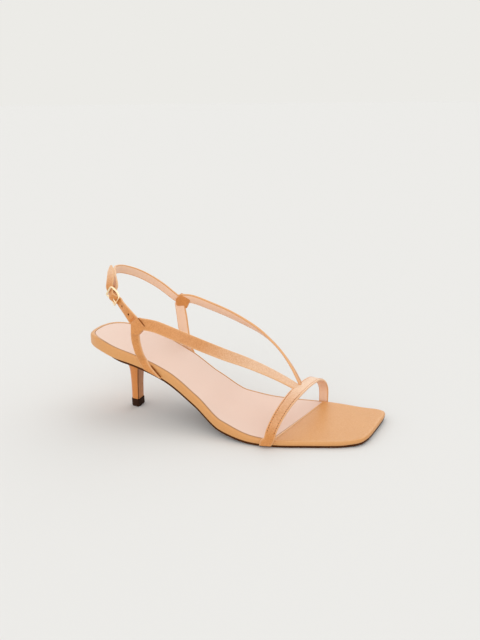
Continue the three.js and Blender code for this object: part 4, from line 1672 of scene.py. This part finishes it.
LATERAL_SIDE: Rows = [
    (0.2435, -0.402, 0.13, -92, 4, 0.86),
    (0.239, -0.415, 0.241, -91, 6, 0.88),
    (0.2375, -0.43, 0.356, -90, 8, 0.9),
    (0.2405, -0.444, 0.476, -90, 10, 0.92),
    (0.247, -0.44, 0.574, -91, 10, 0.95),
]
MEDIAL_SIDE: Rows = [
    (0.287, 0.385, 0.11, 90, 4, 1.1),
    (0.277, 0.412, 0.231, 90, 9, 1.2),
    (0.27, 0.433, 0.371, 90, 14, 1.2),
    (0.263, 0.447, 0.512, 90, 18, 1.15),
    (0.26, 0.45, 0.602, 90, 20, 1.1),
]
# height, along, turn, wide
LATERAL_FOOT: Rows = [
    (-0.9, 0.34, -10, 1),
    (-0.2, 0.289, -10, 0.9),
    (0.45, 0.261, -6, 0.84),
    (0.98, 0.248, 0, 0.84),
]
MEDIAL_FOOT: Rows = [(-0.6, 0.33, 0, 1), (0, 0.323, 0, 1), (0.5, 0.314, 0, 1), (0.95, 0.303, 0, 1)]
TOE_LATERAL_FOOT: Rows = [
    (-0.6, 0.681, 0, 0.98),
    (0, 0.681, 0, 0.96),
    (0.5, 0.682, 0, 0.92),
    (0.95, 0.69, 0, 0.88),
]
TOE_MEDIAL_FOOT: Rows = [
    (0.95, 0.781, 0, 0.82),
    (0.5, 0.781, 0, 0.82),
    (0, 0.782, 0, 0.82),
    (-0.6, 0.782, 0, 0.82),
]
SIDE_TABLES = {Side.LATERAL: (LATERAL_SIDE, LATERAL_FOOT), Side.MEDIAL: (MEDIAL_SIDE, MEDIAL_FOOT)}
# along, across, rise, facing, tilt, wide
HOLE_STRAP: Rows = [
    (0.252, -0.432, 0.574, -92, 8, 1.3),
    (0.232, -0.412, 0.623, -98, 6, 1.2),
    (0.205, -0.383, 0.695, -104, 3, 1.05),
]
HOLE_STRAP_END: Rows = [
    (0.125, -0.26, 0.987, -110, 4, 1),
    (0.126, -0.246, 1.075, -105, 6, 0.98),
    (0.125, -0.231, 1.145, -104, 8, 0.86),
    (0.1245, -0.222, 1.187, -104, 8, 0.6),
    (0.124, -0.215, 1.216, -104, 8, 0.38),
    (0.124, -0.211, 1.24, -104, 8, 0.15),
]
SLING: Rows = [
    (0.136, -0.229, 0.949, -111, 4, 1),
    (0.1285, -0.19, 1.003, -118, 6, 1),
    (0.114, -0.105, 1.033, -142, 8, 1),
    (0.101, -0.04, 1.04, -162, 9, 1),
    (0.093, 0.036, 1.036, 170, 11, 1),
    (0.097, 0.157, 1.01, 150, 14, 1),
    (0.134, 0.299, 0.939, 124, 17, 1),
    (0.189, 0.401, 0.804, 106, 21, 1),
    (0.243, 0.439, 0.67, 96, 22, 1),
    (0.275, 0.444, 0.626, 92, 22, 1),
]
# share of the length, painted highlight: where a strap gets a painted highlight
TOE_PAINTED_HIGHLIGHT: Rows = [
    (0, 0),
    (0.22, 0),
    (0.3, 0.3),
    (0.4, 0.55),
    (0.5, 1),
    (0.66, 1),
    (0.8, 0),
    (1, 0),
]
INSTEP_PAINTED_HIGHLIGHT: Rows = [(0, 0), (0.4, 0.1), (0.55, 0.5), (0.7, 0.75), (1, 0.7)]
NO_PAINTED_HIGHLIGHT: Rows = [(0, 0), (1, 0)]
HOLE_PAINTED_HIGHLIGHT: Rows = [(0, 0), (0.62, 0), (0.8, 0.8), (1, 0.8)]
BACK_PAINTED_HIGHLIGHT: Rows = [(0, 0.1), (0.3, 0.3), (0.5, 0.9), (0.65, 0.5), (0.8, 0), (1, 0)]
# forward and up from a patch's middle, as shares of the strap width
LATERAL_CORNERS: Rows = [(-0.67, -0.72), (0.03, -0.68), (0.69, 0.07), (-0.03, 0.81), (-0.71, 0.27)]
MEDIAL_CORNERS: Rows = [(-0.47, -0.33), (0.54, -0.63), (1.11, 0.43), (0.15, 0.88), (-0.42, 0.34)]
LATERAL_PATCH = (0.253, -0.436, 0.585, -92, 10, 1)
MEDIAL_PATCH = (0.265, 0.446, 0.622, 92, 20, 1)
BUCKLE_PLACE = (0.145, -0.302, 0.831, -112, -1, 1)


def station(form: SoleForm, row: Sequence[float], width: float, thickness: float) -> Station:
    """Places one row of a strap's table over the footbed.

    Args:
        form: the sole's form.
        row: along, across, rise, facing, tilt and wide.
        width: the strap's width.
        thickness: the strap's thickness.

    Returns:
        The station.
    """
    along, across, rise, facing, tilt, wide = row
    x = along * form.length
    point = np.array([x, across * form.ball, form.top(x) + rise * STRAP_RISE])
    return Station(point, heading(facing, tilt), width * wide, thickness)


@dataclass
class Buckle:
    """Small square frame with a bar and a prong, and the straps' path through it."""

    form: SoleForm
    length: float = 12.6
    width: float = 11.0
    wire: float = 1.5
    depth: float = 1.3
    corner: float = 1.1
    bow: float = 1.5
    bar_radius: float = 0.6
    bar_drop: float = 0.5
    prong: float = 1.0
    lift: float = 40.0
    squareness: float = 0.8
    strap: float = 1.3
    fold: float = 0.8
    sling: float = 1.6

    def __post_init__(self) -> None:
        """Finds the buckle's directions and the heights of what passes through it."""
        seat = station(self.form, BUCKLE_PLACE, 1.0, 1.0)
        self.middle, self.outer = seat.point, seat.outer
        rear = heading(BUCKLE_PLACE[3] - 90, self.lift)
        self.rear = unit(rear - self.outer * float(self.outer @ rear))
        self.across = np.cross(self.rear, self.outer)
        gap = self.form.clearance
        self.fold_radius = self.bar_radius + gap + self.fold / 2
        self.over_bar = self.fold_radius + self.fold / 2 + gap + self.strap / 2 - self.bar_drop
        self.frame_end = self.length / 2 - self.wire / 2
        inside = self.length / 2 - self.wire
        self.under_frame = self.bow_at(inside) - self.depth / 2 - gap - self.strap / 2
        self.beneath = self.under_frame - self.strap / 2 - gap - self.sling / 2

    def at(self, rear: float, outward: float, across: float = 0.0) -> Point:
        """Returns the point at these distances from the buckle's middle."""
        return self.middle + self.rear * rear + self.outer * outward + self.across * across

    def bow_at(self, rear: float) -> float:
        """Returns how far out the bowed frame stands."""
        return self.bow * (rear / (self.length / 2)) ** 2

    def stations(self, path: Rows, width: float, thickness: float) -> list[Station]:
        """Places a path through the buckle.

        Args:
            path: rows of rear, outward, and the outer direction's outward and rear shares.
            width: the strap's width.
            thickness: its thickness.

        Returns:
            The stations.
        """
        made = []
        for rear, outward, out_share, rear_share in path:
            outer = self.outer * out_share + self.rear * rear_share
            made.append(Station(self.at(rear, outward), outer, width, thickness))
        return made

    def frame(self) -> bpy.types.Object:
        """Builds the frame and its bar.

        Returns:
            The frame.
        """
        draft = Draft()
        a, b, c = self.length / 2 - self.wire / 2, self.width / 2 - self.wire / 2, self.corner
        line: list[Triple] = []
        right, top = a - c, b - c
        corners = ((right, -top, -90), (right, top, 0), (-right, top, 90), (-right, -top, 180))
        for cx, cy, start in corners:
            for k in range(9):
                angle = math.radians(start + 90 * k / 8)
                line.append((cx + c * math.cos(angle), cy + c * math.sin(angle), angle))
            nxt = math.radians(start + 90)
            side = 2 * (b - c) if start in (-90, 90) else 2 * (a - c)
            for k in range(1, 6):
                x, y = cx + c * math.cos(nxt), cy + c * math.sin(nxt)
                step = side * k / 6
                line.append((x - math.sin(nxt) * step, y + math.cos(nxt) * step, nxt))
        rings = []
        for x, y, angle in line:
            ring = []
            for cosine, sine in circle(12):
                out = self.wire / 2 * math.copysign(abs(cosine) ** self.squareness, cosine)
                up = self.depth / 2 * math.copysign(abs(sine) ** self.squareness, sine)
                px, py = x + out * math.cos(angle), y + out * math.sin(angle)
                ring.append(self.at(px, self.bow_at(px) + up, -py))
            rings.append(draft.add(ring))
        draft.loft([*rings, rings[0]], ends=False)
        r, bar = self.bar_radius, []
        for end in (-b, b):
            ring = [self.at(r * c, r * t - self.bar_drop, end) for c, t in circle(16)]
            bar.append(draft.add(ring))
        draft.loft(bar)
        return draft.build("buckle_frame_metal", STRAP_WELD)

    def prong_path(self) -> Rows:
        """Draws the prong's path: a ring round the bar and a tongue to the frame.

        Returns:
            Rows of rear, outward, and the outer direction's outward and rear shares.
        """
        ring = self.bar_radius + self.form.clearance + self.prong / 2
        path: Rows = []
        for degrees in (75, 30, -15, -60, -105, -150):
            c, t = math.cos(math.radians(degrees)), math.sin(math.radians(degrees))
            path.append((ring * c, ring * t - self.bar_drop, t, c))
        front = self.wire / 2 - self.length / 2
        rest = self.bow_at(front) + self.depth / 2 + self.form.clearance + self.prong / 2
        path.append((-1.15 * ring, 0.1, 0.1, -1.0))
        path.append((-1.5 * ring, 0.62 * rest, 0.6, -0.8))
        path.append((0.66 * front, rest, 1.0, 0.0))
        path.append((front - 0.7 * self.wire, rest, 1.0, 0.0))
        return path

    def tongue(self) -> bpy.types.Object:
        """Builds the prong.

        Returns:
            The prong.
        """
        band = Band(self.stations(self.prong_path(), self.prong, self.prong), 6)
        draft = Draft()
        rings = []
        last = (len(band.stations) - 1) * band.steps
        for i in range(last + 1):
            middle, _, outer, across, half, _ = band.frame(i / band.steps)
            size = half * min(1.0, 0.55 + 0.15 * (last - i))
            ring = [middle + across * (size * c) + outer * (size * t) for c, t in circle(10)]
            rings.append(draft.add(ring))
        draft.loft(rings)
        return draft.build("buckle_prong_metal", STRAP_WELD)

    def dress(self) -> None:
        """Builds and dresses the frame and the prong."""
        gold = GOLD.make()
        settle(self.frame(), "gold_metal", [gold], "buckle_frame")
        settle(self.tongue(), "gold_metal", [gold], "buckle_prong")


@dataclass
class Straps:
    """All the leather straps, their patches, holes and stitches."""

    form: SoleForm
    buckle: Buckle
    width: float = 9.0
    thickness: float = 1.7
    side_width: float = 8.0
    sling_width: float = 7.2
    fold_layer: float = 1.1
    patch_corner: float = 1.1
    sewing: Stitching = field(default_factory=Stitching)

    def _band(self, rows: Rows, width: float, thickness: float) -> list[Station]:
        """Returns the stations of a strap's table."""
        return [station(self.form, row, width, thickness) for row in rows]

    def _wall(self, side: Side, places: Rows, width: float) -> list[Station]:
        """Lays a strap's foot flat on the footbed's edge.

        Args:
            side: which side of the shoe.
            places: rows of height up the edge, share of the length, turn in degrees, width share.
            width: the strap's width.

        Returns:
            The stations.
        """
        form, made = self.form, []
        for height, share, turn, wide in places:
            x = share * form.length
            plan, outward = form.wall(side, x)
            point = plan + outward * (form.clearance + self.thickness / 2)
            a = math.radians(turn)
            c, t = math.cos(a), math.sin(a)
            x_out, y_out = outward[0], outward[1]
            outer = np.array([x_out * c - y_out * t, x_out * t + y_out * c, 0.0])
            point[2] = lerp(form.underside(x), form.top(x, float(plan[1])), height)
            made.append(Station(point, outer, width * wide, self.thickness))
        return made

    def toe_strap(self) -> Band:
        """Lays out the strap over the toes.

        Returns:
            The strap.
        """
        lateral = self._wall(Side.LATERAL, TOE_LATERAL_FOOT, self.width)
        medial = self._wall(Side.MEDIAL, TOE_MEDIAL_FOOT, self.width)
        stations = [*lateral, *self._band(TOE_STRAP, self.width, self.thickness), *medial]
        return Band(stations, painted_highlights=TOE_PAINTED_HIGHLIGHT)

    def instep(self, rows: Rows) -> Band:
        """Returns one of the two straps over the instep."""
        painted_highlights = INSTEP_PAINTED_HIGHLIGHT if rows is LATERAL_INSTEP else NO_PAINTED_HIGHLIGHT
        return Band(self._band(rows, self.width, self.thickness), painted_highlights=painted_highlights)

    def side_strap(self, side: Side) -> Band:
        """Lays out the strap that stands up from the footbed on one side.

        Args:
            side: which side of the shoe.

        Returns:
            The strap.
        """
        rows, foot = SIDE_TABLES[side]
        upright = self._band(rows, self.side_width, self.thickness)
        return Band(self._wall(side, foot, self.side_width) + upright)

    def hole_strap(self) -> Band:
        """Lays out the strap with the holes, from the patch through the buckle to its end.

        Returns:
            The strap.
        """
        b = self.buckle
        e, u = b.frame_end, b.under_frame
        through: Rows = [
            (-1.65 * e, u, 1, 0),
            (-e, u - 0.25, 1, 0),
            (-0.46 * e, 0.45 * b.over_bar, 1, -0.35),
            (0, b.over_bar + 0.1, 1, 0),
            (0.46 * e, 0.45 * b.over_bar, 1, 0.35),
            (e, u - 0.25, 1, 0),
            (1.35 * e, u - 0.1, 1, 0),
        ]
        start = self._band(HOLE_STRAP, self.sling_width, b.strap)
        end = self._band(HOLE_STRAP_END, self.sling_width, b.strap)
        middle = b.stations(through, self.sling_width, b.strap)
        return Band([*start, *middle, *end], crown=0.1, roll=0.45, painted_highlights=HOLE_PAINTED_HIGHLIGHT)

    def back_strap(self) -> Band:
        """Lays out the strap round the heel, from its fold on the buckle's bar to the patch.

        Returns:
            The strap.
        """
        b = self.buckle
        fold = []
        for degrees in (60, 110, 160, 210, 250):
            t = math.radians(degrees)
            out = b.fold_radius * math.sin(t) - b.bar_drop
            fold.append((b.fold_radius * math.cos(t), out, -math.sin(t), -math.cos(t)))
        stations = b.stations(fold, self.sling_width, b.fold)
        e = b.frame_end
        away = [
            (0.42 * e, 0.6 * b.beneath - 0.4 * (b.fold_radius + b.bar_drop), 1, 0),
            (e, b.beneath - 0.35, 1, 0),
        ]
        rest = b.stations(away, self.sling_width, b.sling)
        rest[0].thickness = b.fold
        rest += self._band(SLING, self.sling_width, b.sling)
        return Band([*stations, *rest], crown=0.1, roll=0.5, painted_highlights=BACK_PAINTED_HIGHLIGHT)

    def patch(self, row: Sequence[float], side: Side, name: str) -> bpy.types.Object:
        """Builds the folded patch at a strap junction.

        Args:
            row: its place, as a strap's row.
            side: which side of the shoe.
            name: the piece's name.

        Returns:
            The patch.
        """
        seat = station(self.form, row, self.width, self.thickness)
        forward = np.array([1.0, 0.0, 0.0])
        forward = unit(forward - seat.outer * float(seat.outer @ forward))
        up = np.cross(seat.outer, forward) * -side.value
        shape = LATERAL_CORNERS if side is Side.LATERAL else MEDIAL_CORNERS
        corners = [np.array([a, b]) * self.width for a, b in shape]
        outline: list[Point] = []
        for i, corner in enumerate(corners):
            before, after = corners[i - 1], corners[(i + 1) % len(corners)]
            for share in np.linspace(0, 1, 6):
                one = corner + unit(before - corner) * self.patch_corner
                two = corner + unit(after - corner) * self.patch_corner
                bend = 2 * share * (1 - share) * corner
                outline.append((1 - share) ** 2 * one + bend + share**2 * two)
        middle = sum(outline) / len(outline)
        half = self.thickness / 2 + self.fold_layer
        draft = Draft()
        levels = [(1.1, -half), (0.35, -half + 0.12), (0.0, -half + 0.5), (0.0, half - 0.55)]
        levels += [(0.18, half - 0.2), (0.5, half), (1.4, half + 0.1), (2.6, half + 0.16)]
        rings = []
        for inset, height in levels:
            ring = []
            for p in outline:
                away = p - middle
                q = middle + away * max(0.05, 1 - inset / float(np.linalg.norm(away)))
                ring.append(seat.point + forward * q[0] + up * q[1] + seat.outer * height)
            # the ring on the rounded top edge carries a painted highlight
            rings.append(draft.add(ring, 0.6 if inset == 0.18 else 0.0))
        draft.loft(rings)
        # a painted shade line along the lateral patch's upper edge, over the instep strap
        if side is Side.LATERAL:
            top = [draft.points[k] for k in rings[4][16:21]]
            self.sewing.fold([p + seat.outer * 0.15 for p in top], seat.outer, 0.42)
        return draft.build(name, STRAP_WELD)

    def punch(
        self, obj: bpy.types.Object, band: Band, distances: Sequence[float], radius: float
    ) -> None:
        """Cuts round holes through a strap.

        Args:
            obj: the strap.
            band: its form.
            distances: places of the holes, in millimetres along it.
            radius: the holes' radius.
        """
        draft = Draft()
        for at in distances:
            middle, along, outer, across, _, _ = band.measured(at)
            ring = [along * (radius * c) + across * (radius * t) for c, t in circle(20)]
            ends = [[middle + spot + outer * height for spot in ring] for height in (-3.0, 3.0)]
            draft.loft([draft.add(end) for end in ends])
        cutter = draft.build("cutter")
        cut = obj.modifiers.new("holes", "BOOLEAN")
        cut.operation, cut.solver, cut.object = "DIFFERENCE", "EXACT", cutter
        apply_modifiers(obj)
        bpy.data.objects.remove(cutter)
        smooth(obj)

    def sew(self, toe: Band, holes: Band) -> None:
        """Sews the toe strap and the hole strap.

        Args:
            toe: the toe strap.
            holes: the hole strap.
        """
        sewing, end = self.sewing, float(toe.lengths[-1])
        sewing.along(toe, TOE_UNSEWN, end - TOE_UNSEWN, TOE_PRICKED * end)
        sewing.across(holes, *HOLE_STRAP_BARS)
        for at in HOLES:
            sewing.plug(holes, at, HOLE_RADIUS + 0.05)
        small = (
            (sewing.thread, "stitches", TAN_THREAD),
            (sewing.holes, "needle_hole_shades", NEEDLE_HOLE_SHADE),
            (sewing.shade_lines, "painted_shade_lines", FOLD_SHADE),
        )
        for draft, name, finish in small:
            settle(draft.build(name, FINE_WELD), "strap_leather", [finish.make()])

    def dress(self) -> None:
        """Builds and dresses the straps, patches and stitches."""
        slot, skins, form = "strap_leather", [TAN.make(), BLUSH_STRAP.make()], self.form
        toe, holes = self.toe_strap(), self.hole_strap()
        settle(trim(toe.build("toe_strap"), *form.bottom(*TOE_CUT)), slot, skins, "upper")
        settle(self.instep(LATERAL_INSTEP).build("lateral_instep_strap"), slot, skins)
        settle(self.instep(MEDIAL_INSTEP).build("medial_instep_strap"), slot, skins)
        for side, name, *cut in SIDE_STRAPS:
            settle(trim(self.side_strap(side).build(name), *form.bottom(*cut)), slot, skins)
        self.sewing.seat(self.side_strap(Side.LATERAL), *SEAT_SHADE_LINE)
        settle(self.patch(LATERAL_PATCH, Side.LATERAL, "lateral_patch"), slot, skins)
        settle(self.patch(MEDIAL_PATCH, Side.MEDIAL, "medial_patch"), slot, skins)
        strap = holes.build("hole_strap")
        cover(strap, skins)
        self.punch(strap, holes, HOLES, HOLE_RADIUS)
        settle(strap, slot, skins)
        settle(self.back_strap().build("back_strap_leather"), slot, skins, "back_strap")
        self.sew(toe, holes)


# --------------------------------------------------------------------------- studio


@dataclass
class Studio:
    """Pale seamless floor, soft lights and the camera."""

    azimuth: float = 18.89
    elevation: float = 16.65
    roll: float = -0.58
    distance: float = 709.5
    focal_pixels: float = 740.0
    aim: Triple = (84.04, 128.59, 40.0)
    frame_height: float = 640.0
    # metres
    floor_radii: tuple[float, ...] = (0.05, 0.3, 1.0, 3.0, 8.0, 20.0, 40.0)
    floor_drop: float = 0.0002
    sky: Colour = (0.839, 0.831, 0.799)
    light_colour: Colour = (1.0, 0.985, 0.963)
    # name, direction it shines from, spread, power
    lights: tuple[tuple[str, Triple, float, float], ...] = (
        ("key", (0.35, 0.75, 0.95), 60.0, 0.62),
        ("rear", (-0.15, 1.0, 0.36), 44.0, 0.22),
        ("fill", (0.15, -1.0, 0.3), 60.0, 0.72),
        ("side", (-0.8, -0.75, 0.4), 56.0, 0.35),
    )

    def camera(self) -> bpy.types.Object:
        """Sets up the camera at the photograph's angle.

        Returns:
            The camera.
        """
        a, e, r = (math.radians(v) for v in (self.azimuth, self.elevation, self.roll))
        back = Vector((math.sin(a) * math.cos(e), -math.cos(a) * math.cos(e), math.sin(e)))
        right = Vector((math.cos(a), math.sin(a), 0.0))
        up = back.cross(right)
        right, up = right * math.cos(r) + up * math.sin(r), up * math.cos(r) - right * math.sin(r)
        aim = Vector((np.array(self.aim) - ROW_ORIGIN) * MM)
        data = bpy.data.cameras.new("camera")
        data.sensor_width = 36.0
        data.lens = self.focal_pixels / self.frame_height * data.sensor_width
        data.clip_start, data.clip_end = 0.01, 50.0
        camera = add_object("camera", data)
        turn = Matrix((right, up, back)).transposed().to_4x4()
        camera.matrix_world = Matrix.Translation(aim + back * self.distance * MM) @ turn
        bpy.context.scene.camera = camera
        return camera

    def floor(self, finish: bpy.types.Material) -> bpy.types.Object:
        """Builds a wide round floor that meets the sky far behind the shoe.

        Args:
            finish: its material.

        Returns:
            The floor.
        """
        work = bmesh.new()
        rings = []
        for radius in self.floor_radii:
            ring = [(radius * c, radius * t, -self.floor_drop) for c, t in circle(96)]
            rings.append([work.verts.new(place) for place in ring])
        for one, two in zip(rings, rings[1:]):
            for k in range(len(one)):
                work.faces.new((one[k - 1], two[k - 1], two[k], one[k]))
        work.faces.new(rings[0])
        mesh = bpy.data.meshes.new("studio_floor")
        work.to_mesh(mesh)
        work.free()
        floor = add_object("studio_floor", mesh)
        cover(floor, [finish])
        return floor

    def sun(self, name: str, place: Triple, spread: float, power: float) -> None:
        """Adds a far soft light.

        Args:
            name: the light's name.
            place: the direction that it shines from.
            spread: how wide it is, in degrees.
            power: its strength on a facing surface, in watts per square metre.
        """
        data = bpy.data.lights.new(name, "SUN")
        data.angle, data.energy, data.color = math.radians(spread), power, self.light_colour
        turn = (-Vector(place)).to_track_quat("-Z", "Y")
        add_object(name, data).rotation_euler = turn.to_euler()

    def light(self) -> None:
        """Sets the sky and the lights."""
        world = bpy.data.worlds.new("studio_sky")
        world.use_nodes = True
        sky = world.node_tree.nodes["Background"]
        sky.inputs[0].default_value = (*self.sky, 1.0)
        sky.inputs[1].default_value = 1.0
        bpy.context.scene.world = world
        for name, place, spread, power in self.lights:
            self.sun(name, place, spread, power)
        bpy.context.scene.view_settings.view_transform = "Standard"
        bpy.context.scene.view_settings.look = "None"


# --------------------------------------------------------------------------- the whole shoe


def main() -> None:
    """Builds the sandal's pieces in order, then the studio."""
    logging.basicConfig(level=logging.INFO, format="%(message)s")
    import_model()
    form = SoleForm()
    buckle = Buckle(form)
    for assembly in (Sole(form), Heel(form), Straps(form, buckle), buckle):
        assembly.dress()
    studio = Studio()
    studio.floor(PAPER.make())
    studio.light()
    studio.camera()


if __name__ == "__main__":
    main()
